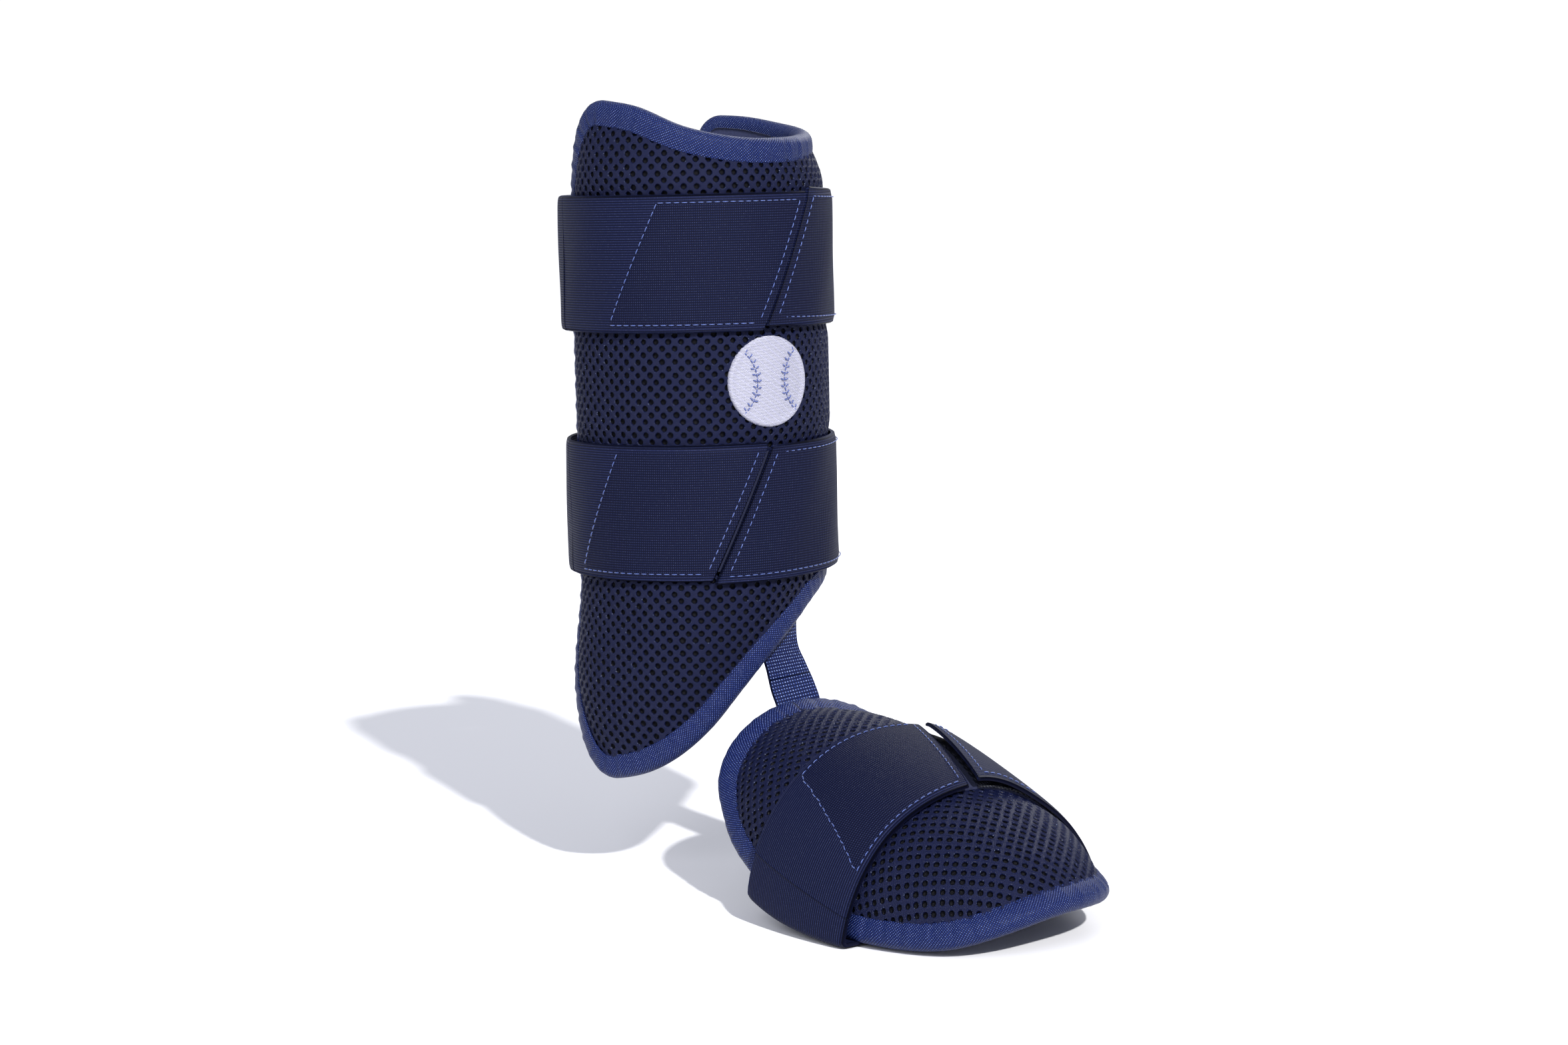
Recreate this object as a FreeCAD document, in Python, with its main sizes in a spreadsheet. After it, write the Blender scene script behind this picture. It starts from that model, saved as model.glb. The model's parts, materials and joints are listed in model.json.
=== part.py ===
import FreeCAD
import Part
import Sketcher
import math
import os
from FreeCAD import Placement, Rotation, Vector

# Leg guard for a batter: a C-shaped shin pad held by two elastic straps, and a foot guard
# that hangs from it on a short webbing connector.
# Millimetres. +Z is up along the leg, the origin is on the leg's axis midway between the
# two straps, and the front of the shin and the toes are towards -Y.
# Around the leg, angles start at the front (-Y) and grow towards +X.

SIZES = {
    # shin pad, radii from the leg's axis outwards
    "lining_inside": 38.0, "lining_outside": 39.0,
    "foam_inside": 39.1, "foam_outside": 43.9,
    "shell_inside": 44.0, "shell_outside": 46.0,
    "mesh_inside": 46.1, "mesh_outside": 49.0,
    "tape_cover": 1.1, "tape_gap": 0.35, "tape_width": 9.0, "sewn_setback": 2.4,
    "core_setback": 10.5,
    # outline of the pad, unrolled at the mesh radius
    "left_edge": -122.0, "right_edge": 146.0,
    "left_corner_width": 36.0, "top_corner_height": 75.0, "bottom_corner_height": 80.0,
    "right_corner_width": 12.0, "right_corner_height": 12.0,
    # straps around the leg
    "strap_width": 50.0, "upper_strap_base": 23.5, "lower_strap_base": -69.0,
    "loop_inside": 49.1, "loop_outside": 49.8, "loop_inset": 3.0,
    "hook_inside": 50.1, "hook_outside": 50.8, "hook_inset": 2.0,
    "elastic_inside": 50.9, "elastic_outside": 52.3,
    "left_hinge": -100.0, "right_hinge": 82.0, "hinge_gap": 0.8, "seam_gap": 1.2,
    "upper_seam": 9.2, "lower_seam": -15.0, "seam_slant": 25.0,
    "patch_end_upper": -60.0, "patch_end_lower": -80.0, "patch_end_right": 70.0,
    "seam_overrun": 24.0, "patch_overrun": 16.0, "loop_overrun": 3.0,
    "sewn_pad_arc": 8.0, "sewn_pad_inset": 6.0, "sewn_pad_height": 20.0, "sewn_pad_start": 1.0,
    # emblem on the front, a stitched ball
    "emblem_radius": 17.0, "emblem_height": 4.0,
    "emblem_inside": 49.1, "emblem_outside": 50.0,
    # webbing between the two guards
    "webbing_width": 20.0, "webbing_thick": 1.3, "webbing_turn": 19.5,
    "webbing_sewn_top": -62.0, "webbing_sewn_end": -98.4, "webbing_pad_height": 8.0,
    "webbing_inside": 35.7, "webbing_outside": 36.8,
    "webbing_drop": 21.2, "webbing_reach": 9.2, "webbing_side": 1.9, "joint_gap": 2.0,
    "foot_tab_length": 12.4,
    # foot guard: an ellipsoid cap, half lengths along the foot, across it and upwards
    "foot_length": 126.0, "foot_half_width": 58.5, "foot_rise": 56.7,
    "foot_centre_x": 15.0, "foot_centre_y": -110.0, "foot_centre_z": -185.4,
    "foot_pitch": 16.5, "foot_roll": 6.4, "foot_yaw": 2.9,
    "foot_mesh": 2.8, "foot_shell_depth": 2.9, "foot_shell": 2.0,
    "foot_foam_depth": 5.0, "foot_foam": 4.8, "foot_lining_depth": 9.9, "foot_lining": 1.0,
    # strap over the foot, heights above the cap
    "foot_loop_base": 0.1, "foot_loop": 0.8, "foot_hook_base": 1.2, "foot_hook": 0.7,
    "foot_elastic_base": 2.0, "foot_elastic": 1.4,
    "foot_strap_rear": -98.0, "foot_strap_front": -149.0, "foot_hinge_height": 30.0,
    "sole_clearance": 1.3, "sole_sag_rear": 7.0, "sole_sag_front": 1.5,
    "foot_seam_rear": 30.0, "foot_seam_front": 15.0,
    "right_end_rear": 33.0, "right_end_front": 18.0, "foot_patch_half": 42.0,
}

# Height of the pad's upper and lower edge at each angle, away from its corners.
TOP_EDGE = [(-122, 110), (-95, 110), (-74, 108.5), (-58, 106), (-35, 98.5), (-10, 94.5),
            (15, 94), (45, 95.5), (90, 99.5), (120, 103), (146, 104)]
BOTTOM_EDGE = [(-122, -147), (-90, -147.5), (-75, -146), (-60, -142.5), (-45, -136),
               (-30, -126), (-15, -112.5), (0, -100), (15, -90), (30, -82), (50, -77),
               (70, -75), (110, -74), (146, -74)]
# Side view of the foot guard's rim: along the foot from its centre, and height.
FOOT_RIM = [(-86, 54), (-80, 44), (-73, 35), (-64, 27), (-45, 18.7), (-22, 14.5), (0, 13),
            (25, 16.4), (50, 22.7), (68, 30), (80, 39.5), (88, 50)]

REACH = 200.0        # half size of the cutting blocks, beyond every solid
RIM_REACH = 90.0     # the same for the foot guard's own block
PANEL_LOW, PANEL_TALL = -160.0, 80.0    # level space that holds the patches on the foot
DEGREES = "57.2958"  # degrees in a radian, for the sheet's formulas

doc = FreeCAD.newDocument("LegGuard")
sheet = doc.addObject("Spreadsheet::Sheet", "Sizes")
for row, (alias, value) in enumerate(SIZES.items(), start=1):
    sheet.set("A%d" % row, alias)
    sheet.set("B%d" % row, str(value))
    sheet.setAlias("B%d" % row, alias)
doc.recompute()

subparts = []


def size(alias):
    return float(sheet.get(alias))


def bind(obj, **formulas):
    """Ties properties to cells of the sheet; a dot in a property is written as two underscores."""
    for name, formula in formulas.items():
        obj.setExpression(name.replace("__", "."), formula)


def keep(obj, node):
    """Names the object as a finished sub-part."""
    obj.Label = node
    subparts.append(obj)
    return obj


def solid(name, shape):
    """Holds a shape that is worked out in code, as a tool for the booleans."""
    obj = doc.addObject("Part::Feature", name)
    obj.Shape = shape
    return obj


def cut(name, base, tool):
    obj = doc.addObject("Part::Cut", name)
    obj.Base = base
    obj.Tool = tool
    return obj


def common(name, base, tool):
    obj = doc.addObject("Part::Common", name)
    obj.Base = base
    obj.Tool = tool
    return obj


# ---------------------------------------------------------------- curves

def ease(points, at):
    """Smooth curve through (x, y) points, with each slope taken from the two neighbours."""
    last = len(points) - 1

    def slope(i):
        low, high = points[max(i - 1, 0)], points[min(i + 1, last)]
        return (high[1] - low[1]) / (high[0] - low[0])

    i = max(k for k in range(last) if points[k][0] <= at or k == 0)
    width = points[i + 1][0] - points[i][0]
    part = (at - points[i][0]) / width
    return ((2 * part**3 - 3 * part**2 + 1) * points[i][1]
            + (part**3 - 2 * part**2 + part) * width * slope(i)
            + (3 * part**2 - 2 * part**3) * points[i + 1][1]
            + (part**3 - part**2) * width * slope(i + 1))


def corner_drop(distance, width, height):
    """How far a rounded corner pulls an edge in, this far from the corner's end."""
    part = min(max(distance / width, 0.0), 1.0)
    return height * (1.0 - math.sqrt(max(0.0, 1.0 - (1.0 - part) ** 2)))


def pad_edges(angle, inset):
    """Lower and upper edge of the shin pad's outline at an angle, moved in by inset."""
    per_degree = math.radians(1.0) * size("mesh_outside")
    left = (angle - size("left_edge")) * per_degree - inset
    right = (size("right_edge") - angle) * per_degree - inset
    edges = []
    for points, sign, tall in ((BOTTOM_EDGE, 1, "bottom_corner_height"),
                               (TOP_EDGE, -1, "top_corner_height")):
        rise = (ease(points, angle + 1.0) - ease(points, angle - 1.0)) / (2.0 * per_degree)
        height = ease(points, angle) + sign * inset * math.hypot(1.0, rise)
        height += sign * corner_drop(left, size("left_corner_width") - inset, size(tall) - inset)
        height += sign * corner_drop(right, size("right_corner_width") - min(inset, 6.0),
                                     size("right_corner_height") - min(inset, 6.0))
        edges.append(height)
    return edges


# ---------------------------------------------------------------- sketches and bodies

def plane_of(body, role):
    return next(part for part in body.Origin.OriginFeatures if part.Role == role)


def polygon_sketch(body, name, role, corners, turn=0.0):
    """A closed sketch on one of the body's planes, turned about the body's Z axis."""
    sketch = body.newObject("Sketcher::SketchObject", name)
    sketch.AttachmentSupport = [(plane_of(body, role), "")]
    sketch.MapMode = "FlatFace"
    sketch.AttachmentOffset = Placement(Vector(), Rotation(Vector(0, 1, 0), turn))
    count = len(corners)
    for i in range(count):
        sketch.addGeometry(Part.LineSegment(Vector(*corners[i], 0),
                                            Vector(*corners[(i + 1) % count], 0)), False)
    for i in range(count):
        sketch.addConstraint(Sketcher.Constraint("Coincident", i, 2, (i + 1) % count, 1))
    return sketch


def box_sketch(body, name, role, inner, outer, low, height):
    """A rectangle from inner to outer and from low up; each is a formula of the sheet."""
    x0, x1, y0, tall = (sheet_value(text) for text in (inner, outer, low, height))
    corners = [(x0, y0), (x1, y0), (x1, y0 + tall), (x0, y0 + tall)]
    sketch = polygon_sketch(body, name, role, corners)
    for i, kind in enumerate(("Horizontal", "Vertical", "Horizontal", "Vertical")):
        sketch.addConstraint(Sketcher.Constraint(kind, i))
    dims = (("DistanceX", (-1, 1, 0, 1), x0, inner), ("DistanceX", (-1, 1, 0, 2), x1, outer),
            ("DistanceY", (-1, 1, 0, 1), y0, low), ("DistanceY", (1, 1, 1, 2), tall, height))
    for kind, ends, value, formula in dims:
        number = sketch.addConstraint(Sketcher.Constraint(kind, *ends, value))
        sketch.setExpression("Constraints[%d]" % number, formula)
    return sketch


def sheet_value(formula):
    """Number that a formula of the sheet gives, worked out in a spare cell."""
    sheet.set("D1", "=" + formula.replace("Sizes.", ""))
    sheet.recompute()
    value = float(sheet.get("D1"))
    sheet.clear("D1")
    return value


def ring_piece(node, inner, outer, low, height, start, end):
    """Body for part of a ring around the leg, between two angles given as formulas."""
    body = doc.addObject("PartDesign::Body", node + "_body")
    profile = box_sketch(body, node + "_profile", "XZ_Plane", inner, outer, low, height)
    sweep = body.newObject("PartDesign::Revolution", node + "_sweep")
    sweep.Profile = profile
    sweep.ReferenceAxis = (profile, ["V_Axis"])
    sweep.Midplane = True
    sweep.setExpression("Angle", "(%s) - (%s)" % (end, start))
    middle = 0.5 * (sheet_value(start) + sheet_value(end))
    body.Placement = Placement(Vector(), Rotation(Vector(0, 0, 1), middle - 90.0))
    body.Tip = sweep
    doc.recompute()
    return body, middle


def slanted_trim(body, name, middle, angle, base, tall, side, gap):
    """Pocket that cuts the ring along a slanted seam; side is the side that is taken away."""
    lean = math.tan(math.radians(size("seam_slant")))
    reach, over, deep = 60.0, 3.0, 70.0
    low, high = base - over, base + tall + over
    half = base + 0.5 * tall
    foot = side * gap + lean * (low - half)
    head = side * gap + lean * (high - half)
    far = side * reach
    corners = [(foot, low), (far, low), (far, high), (head, high)]
    sketch = polygon_sketch(body, name + "_outline", "YZ_Plane", corners, angle - middle)
    before = body.Shape.Volume
    pocket = body.newObject("PartDesign::Pocket", name)
    pocket.Profile = sketch
    pocket.Length = deep
    for flip in (True, False):
        pocket.Reversed = flip
        body.Tip = pocket
        doc.recompute()
        if 0.02 * before < pocket.Shape.Volume < 0.999 * before:
            return pocket
    raise RuntimeError(name + " cuts nothing")


# ---------------------------------------------------------------- shin pad

def stations(first, last, left_zone, right_zone):
    """Angles at which a layer is cut: evenly round both corners, and evenly between them."""
    def corner(zone, steps):
        return [zone * (1.0 - math.cos(0.5 * math.pi * i / steps)) for i in range(steps)]
    start, end = first + left_zone, last - right_zone
    spans = int((end - start) / 12.0)
    middle = [start + (end - start) * i / spans for i in range(spans + 1)]
    return ([first + a for a in corner(left_zone, 7)] + middle
            + [last - a for a in reversed(corner(right_zone, 4))])


def pad_layer(name, inside, outside, inset):
    """Curved solid between two radii, with the pad's outline moved in by inset."""
    per_degree = math.radians(1.0) * size("mesh_outside")
    first = size("left_edge") + inset / per_degree
    last = size("right_edge") - inset / per_degree
    left_zone = (size("left_corner_width") - inset) / per_degree
    right_zone = (size("right_corner_width") - min(inset, 6.0)) / per_degree
    wires = []
    for angle in stations(first, last, left_zone, right_zone):
        low, high = pad_edges(angle, inset)
        turn = math.radians(angle)
        out = Vector(math.sin(turn), -math.cos(turn), 0)
        corners = [out * inside + Vector(0, 0, low), out * outside + Vector(0, 0, low),
                   out * outside + Vector(0, 0, high), out * inside + Vector(0, 0, high)]
        wires.append(Part.makePolygon(corners + corners[:1]))
    return solid(name, Part.makeLoft(wires, True, False))


def tube(name, inner, outer):
    """Tall tube around the leg's axis, between two radii of the sheet."""
    walls = []
    for end, radius in (("outer", outer), ("inner", inner)):
        wall = doc.addObject("Part::Cylinder", "%s_%s" % (name, end))
        bind(wall, Radius=radius)
        wall.Height = 400.0
        wall.Placement.Base = Vector(0, 0, -200)
        walls.append(wall)
    return cut(name + "_tube", walls[0], walls[1])


def shin_pad():
    sewn, core = size("sewn_setback"), size("core_setback")
    layers = (("shin_outer_mesh", "mesh", sewn), ("shin_shell", "shell", core),
              ("shin_foam", "foam", core), ("shin_lining", "lining", sewn))
    for node, layer, inset in layers:
        keep(pad_layer(node + "_layer", size(layer + "_inside"), size(layer + "_outside"),
                       inset), node)
    keep(solid("shin_tape", edge_tape()), "shin_edge_binding")


def rim_points():
    """Dense closed path round the pad's outline, unrolled: distance round the leg, height."""
    per_degree = math.radians(1.0) * size("mesh_outside")
    left, right = size("left_edge"), size("right_edge")
    steps = 240
    lower, upper = [], []
    for i in range(steps + 1):
        # Closer together at both ends, where the outline turns upright.
        angle = left + (right - left) * 0.5 * (1.0 - math.cos(math.pi * i / steps))
        low, high = pad_edges(angle, 0.0)
        lower.append((angle * per_degree, low))
        upper.append((angle * per_degree, high))
    far, middle = right * per_degree, 0.5 * (lower[-1][1] + upper[-1][1])
    start, end = (far, middle + 1.0), (far, middle - 1.0)
    corners = [start] + upper[::-1] + lower + [end]
    path = [start]
    for a, b in zip(corners, corners[1:]):
        parts = max(1, int(math.dist(a, b) / 1.5))
        path += [(a[0] + (b[0] - a[0]) * k / parts, a[1] + (b[1] - a[1]) * k / parts)
                 for k in range(1, parts + 1)]
    return path


def edge_tape():
    """Folded tape round the whole rim: a channel section carried along the outline."""
    path = rim_points()
    inside, outside, cover = size("lining_inside"), size("mesh_outside"), size("tape_cover")
    gap, width = size("tape_gap"), size("tape_width")
    section = [(inside - cover, width), (inside - cover, 0.0), (outside + cover, 0.0),
               (outside + cover, width), (outside + gap, width), (outside + gap, cover),
               (inside - gap, cover), (inside - gap, width)]
    wires, walked, turned, heading = [], 1e9, 0.0, None
    look = 3
    for i in range(len(path)):
        back, ahead = path[max(i - look, 0)], path[min(i + look, len(path) - 1)]
        angle = math.atan2(ahead[1] - back[1], ahead[0] - back[0])
        if i:
            walked += math.dist(path[i], path[i - 1])
            turned += abs((angle - heading + math.pi) % (2 * math.pi) - math.pi)
        heading = angle
        if walked < 3.0 or (walked < 13.0 and turned < math.radians(11) and i < len(path) - 1):
            continue
        walked, turned = 0.0, 0.0
        inward = (-math.sin(angle), math.cos(angle))
        corners = []
        for radius, depth in section:
            turn = (path[i][0] + inward[0] * depth) / outside
            corners.append(Vector(radius * math.sin(turn), -radius * math.cos(turn),
                                  path[i][1] + inward[1] * depth))
        wires.append(Part.makePolygon(corners + corners[:1]))
    return Part.makeLoft(wires, True, False)


def emblem():
    """Round embroidered patch that follows the front of the pad."""
    disc = doc.addObject("Part::Cylinder", "emblem_disc")
    bind(disc, Radius="Sizes.emblem_radius")
    disc.Height = 60.0
    disc.Placement = Placement(Vector(0, 0, size("emblem_height")),
                               Rotation(Vector(1, 0, 0), 90))
    ring = tube("emblem", "Sizes.emblem_inside", "Sizes.emblem_outside")
    keep(common("emblem_cut", ring, disc), "shin_emblem")


# ---------------------------------------------------------------- straps around the leg

def leg_strap(name, base_alias, seam_alias, patch_alias):
    base = "Sizes.%s" % base_alias
    base_value = size(base_alias)
    seam = size(seam_alias)
    width = "Sizes.strap_width"
    half_gap = "Sizes.hinge_gap / 2 / Sizes.elastic_outside * " + DEGREES
    elastic = ("Sizes.elastic_inside", "Sizes.elastic_outside")
    hook = ("Sizes.hook_inside", "Sizes.hook_outside")
    inset_base = "%s + Sizes.hook_inset" % base
    inset_width = "Sizes.strap_width - 2 * Sizes.hook_inset"
    beyond = "Sizes.%s + Sizes.seam_overrun" % seam_alias
    before = "Sizes.%s - Sizes.seam_overrun" % seam_alias
    tall = size("strap_width")
    gap = 0.5 * size("seam_gap")

    band, _ = ring_piece(name + "_band", *elastic, base, width,
                         "Sizes.right_hinge + " + half_gap,
                         "Sizes.left_hinge + 360 - " + half_gap)
    keep(band, name + "_band")

    left, middle = ring_piece(name + "_left_end", *elastic, base, width,
                              "Sizes.left_hinge + " + half_gap, beyond)
    slanted_trim(left, name + "_left_seam", middle, seam, base_value, tall, 1, -gap)
    keep(left, name + "_left_end")

    right, middle = ring_piece(name + "_right_end", *elastic, base, width, before,
                               "Sizes.right_hinge - " + half_gap)
    slanted_trim(right, name + "_right_seam", middle, seam, base_value, tall, -1, -gap)
    keep(right, name + "_right_end")

    inset = size("hook_inset")
    hooks, middle = ring_piece(name + "_left_hook", *hook, inset_base, inset_width,
                               "Sizes.%s - Sizes.patch_overrun" % patch_alias, beyond)
    slanted_trim(hooks, name + "_left_hook_seam", middle, seam, base_value, tall, 1, -gap - inset)
    slanted_trim(hooks, name + "_left_hook_end", middle, size(patch_alias), base_value, tall,
                 -1, 0.0)
    keep(hooks, name + "_left_hook")

    hooks, middle = ring_piece(name + "_right_hook", *hook, inset_base, inset_width, before,
                               "Sizes.patch_end_right")
    slanted_trim(hooks, name + "_right_hook_seam", middle, seam, base_value, tall, -1,
                 -gap - inset)
    keep(hooks, name + "_right_hook")

    loop_base = "%s + Sizes.loop_inset" % base
    loop_width = "Sizes.strap_width - 2 * Sizes.loop_inset"
    panel, _ = ring_piece(name + "_loop_panel", "Sizes.loop_inside", "Sizes.loop_outside",
                          loop_base, loop_width,
                          "Sizes.%s - Sizes.patch_overrun" % patch_alias,
                          "Sizes.patch_end_right + Sizes.loop_overrun")
    keep(panel, name + "_loop_panel")

    # Two small sewn pads carry the band on the pad's side edges.
    pads = []
    for side, start in (("left", "Sizes.left_hinge - Sizes.sewn_pad_start - Sizes.sewn_pad_arc"),
                        ("right", "Sizes.right_hinge + Sizes.sewn_pad_start")):
        pad, _ = ring_piece("%s_%s_pad" % (name, side), "Sizes.mesh_outside + 0.05",
                            "Sizes.elastic_inside - 0.05", "%s + Sizes.sewn_pad_inset" % base,
                            "Sizes.sewn_pad_height", start, "%s + Sizes.sewn_pad_arc" % start)
        pads.append(pad)
    both = doc.addObject("Part::Compound", name + "_pads")
    both.Links = pads
    keep(both, name + "_sewn_pads")


# ---------------------------------------------------------------- foot guard

def foot_placement():
    turn = (Rotation(Vector(0, 0, 1), size("foot_yaw"))
            * Rotation(Vector(1, 0, 0), size("foot_pitch"))
            * Rotation(Vector(0, 1, 0), -size("foot_roll")))
    centre = Vector(*(size("foot_centre_" + axis) for axis in "xyz"))
    return Placement(centre, turn)


def ellipsoid(name, offset):
    """Closed ellipsoid of the foot guard, grown by an offset formula."""
    obj = doc.addObject("Part::Ellipsoid", name)
    bind(obj, Radius1="Sizes.foot_rise + %s" % offset,
         Radius2="Sizes.foot_half_width + %s" % offset,
         Radius3="Sizes.foot_length + %s" % offset)
    obj.Placement = foot_placement()
    return obj


def skin(name, low, high):
    """Hollow ellipsoid between two offsets."""
    return cut(name + "_skin", ellipsoid(name + "_outer", high), ellipsoid(name + "_inner", low))


def rim_block(name, inset):
    """Everything above the foot guard's rim, with the rim moved up by inset."""
    points = [Vector(0, -along, up) for along, up in FOOT_RIM]
    curve = Part.BSplineCurve()
    curve.interpolate(points)
    moved = []
    for point in points:
        direction = curve.tangent(curve.parameter(point))[0]
        normal = Vector(0, -direction.z, direction.y)
        if normal.z < 0:
            normal = normal * -1.0
        moved.append(point + normal * inset)
    edge = Part.BSplineCurve()
    edge.interpolate(moved)
    first, last = moved[0], moved[-1]
    lid = Part.makePolygon([last, Vector(0, last.y, RIM_REACH), Vector(0, first.y, RIM_REACH),
                            first])
    face = Part.Face(Part.Wire([edge.toShape()] + lid.Edges))
    face.translate(Vector(-RIM_REACH, 0, 0))
    obj = solid(name, face.extrude(Vector(2 * RIM_REACH, 0, 0)))
    obj.Placement = foot_placement()
    return obj


def foot_pad():
    full = rim_block("rim_full", 0.0)
    sewn = rim_block("rim_sewn", size("tape_cover"))
    bare = rim_block("rim_bare", size("tape_width"))
    core = rim_block("rim_core", size("core_setback"))
    slot = rim_block("rim_slot", size("tape_cover") - size("tape_gap"))
    inner = "(-Sizes.foot_lining_depth - Sizes.foot_lining)"
    layers = (("foot_outer_mesh", "(-Sizes.foot_mesh)", "0", sewn),
              ("foot_shell", "(-Sizes.foot_shell_depth - Sizes.foot_shell)",
               "(-Sizes.foot_shell_depth)", core),
              ("foot_foam", "(-Sizes.foot_foam_depth - Sizes.foot_foam)",
               "(-Sizes.foot_foam_depth)", core),
              ("foot_lining", inner, "(-Sizes.foot_lining_depth)", sewn))
    for node, low, high, outline in layers:
        keep(common(node + "_cut", skin(node, low, high), outline), node)
    band = skin("foot_tape", inner + " - Sizes.tape_cover", "Sizes.tape_cover")
    hollow = skin("foot_tape_hollow", inner + " - Sizes.tape_gap", "Sizes.tape_gap")
    block = common("foot_tape_block", band, full)
    space = common("foot_tape_slot", hollow, slot)
    channel = cut("foot_tape_channel", block, space)
    keep(cut("foot_tape_open", channel, bare), "foot_edge_binding")


def strap_section(y, offset, drop):
    """Closed wire round the foot guard in the upright plane at y, offset outside the cap."""
    place = foot_placement()
    half_wide = size("foot_half_width") + offset
    half_long = size("foot_length") + offset
    rise = size("foot_rise") + offset
    back = place.inverse()

    def on_cap(turn):
        along = 0.0
        for _ in range(30):
            slim = math.sqrt(1.0 - (along / half_long) ** 2)
            local = Vector(half_wide * slim * math.sin(turn), -along, rise * slim * math.cos(turn))
            along += (place.multVec(local).y - y) / math.cos(math.radians(size("foot_pitch")))
        return place.multVec(local)

    centre = back.multVec(Vector(size("foot_centre_x"), y, size("foot_centre_z")))
    along = -centre.y
    bottom = ease(FOOT_RIM, along) - size("sole_clearance") - drop
    steps = 14
    turn_down = math.acos((bottom + 3.0) / rise)
    arch = [on_cap(turn_down * (2.0 * i / steps - 1.0)) for i in range(steps + 1)]
    ends = []
    for point in (arch[0], arch[-1]):
        local = back.multVec(point)
        ends.append(place.multVec(Vector(local.x, local.y, bottom)))
    # The lower corners are pulled into the same upright plane as the arch.
    ends = [Vector(point.x, y, point.z) for point in ends]
    curve = Part.BSplineCurve()
    curve.interpolate([Vector(point.x, y, point.z) for point in arch])
    # Under the sole the strap hangs in a shallow bow between the two corners.
    rear, front = size("foot_strap_rear"), size("foot_strap_front")
    sag = size("sole_sag_front") + (size("sole_sag_rear") - size("sole_sag_front")) * min(
        max((y - front) / (rear - front), 0.0), 1.0)
    dip = (ends[0] + ends[1]) * 0.5 - Vector(0, 0, sag)
    bow = Part.Arc(ends[1], dip, ends[0]).toShape()
    sides = [Part.LineSegment(arch[-1], ends[1]).toShape(),
             Part.LineSegment(ends[0], arch[0]).toShape()]
    return Part.Wire([curve.toShape(), sides[0], bow, sides[1]])


def strap_tube(name, offset, drop, over):
    """Solid loop shape of the foot strap, a little longer than the strap by over."""
    rear, front = size("foot_strap_rear") + over, size("foot_strap_front") - over
    steps = 4
    places = [rear + (front - rear) * i / steps for i in range(steps + 1)]
    wires = [strap_section(y, offset, drop) for y in places]
    return solid(name, Part.makeLoft(wires, True, False))


def slab(name, corner, extent, turn=0.0, place=None):
    """Box used as a cutter, turned about Z at its own corner."""
    box = doc.addObject("Part::Box", name)
    box.Length, box.Width, box.Height = extent
    own = Placement(Vector(*corner), Rotation(Vector(0, 0, 1), turn))
    box.Placement = place.multiply(own) if place else own
    return box


def foot_strap():
    base, thick = size("foot_elastic_base"), size("foot_elastic")
    outer = strap_tube("foot_loop_outer", base + thick, thick, 0.0)
    inner = strap_tube("foot_loop_inner", base, 0.0, 6.0)
    ring = cut("foot_loop_ring", outer, inner)
    place = foot_placement()
    hinge, gap = size("foot_hinge_height"), 0.5 * size("hinge_gap")
    wide = (2 * REACH, 2 * REACH, REACH)
    above = slab("above_hinges", (-REACH, -REACH, hinge + gap), wide, 0, place)
    below = slab("below_hinges", (-REACH, -REACH, hinge - gap - REACH), wide, 0, place)
    keep(common("foot_sole_cut", ring, below), "foot_strap_sole_band")
    upper = common("foot_upper_ring", ring, above)
    rear, front = size("foot_strap_rear"), size("foot_strap_front")
    long = rear - front

    def side_of(name, x_rear, x_front, side):
        """Half space beside a seam that runs from x_rear to x_front over the foot."""
        lean = math.degrees(math.atan2(x_front - x_rear, long))
        over = 30.0
        start = Vector(x_rear - over * (x_front - x_rear) / long, rear + over, PANEL_LOW - 100)
        turn = Rotation(Vector(0, 0, 1), lean)
        box = doc.addObject("Part::Box", name)
        box.Length, box.Width, box.Height = REACH, long + 2 * over, REACH
        shift = turn.multVec(Vector(0 if side > 0 else -REACH, -(long + 2 * over), 0))
        box.Placement = Placement(start + shift, turn)
        return box

    left_half = side_of("left_of_seam", size("foot_seam_rear"), size("foot_seam_front"), -1)
    right_half = side_of("right_of_seam", size("right_end_rear"), size("right_end_front"), 1)
    keep(common("foot_left_cut", upper, left_half), "foot_strap_left_end")
    keep(common("foot_right_cut", upper, right_half), "foot_strap_right_end")

    # Hook patches under the ends, and the loop panel on the cap below them.
    centre, half = size("foot_centre_x"), size("foot_patch_half")
    inset = size("hook_inset")
    middle = slab("patch_space", (centre - half, front + inset, PANEL_LOW),
                  (2 * half, long - 2 * inset, PANEL_TALL))
    hook = skin("foot_hook", "Sizes.foot_hook_base", "Sizes.foot_hook_base + Sizes.foot_hook")
    patch = common("foot_hook_patch", hook, middle)
    left_patch = side_of("left_patch_side", size("foot_seam_rear") - inset,
                         size("foot_seam_front") - inset, -1)
    right_patch = side_of("right_patch_side", size("right_end_rear") + inset,
                          size("right_end_front") + inset, 1)
    keep(common("foot_left_patch", patch, left_patch), "foot_strap_left_hook")
    keep(common("foot_right_patch", patch, right_patch), "foot_strap_right_hook")
    edge = size("loop_inset")
    panel_space = slab("panel_space", (centre - half - edge, front + edge, PANEL_LOW),
                       (2 * (half + edge), long - 2 * edge, PANEL_TALL))
    panel = skin("foot_panel", "Sizes.foot_loop_base", "Sizes.foot_loop_base + Sizes.foot_loop")
    keep(common("foot_panel_cut", panel, panel_space), "foot_loop_panel")


# ---------------------------------------------------------------- webbing connector

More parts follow.
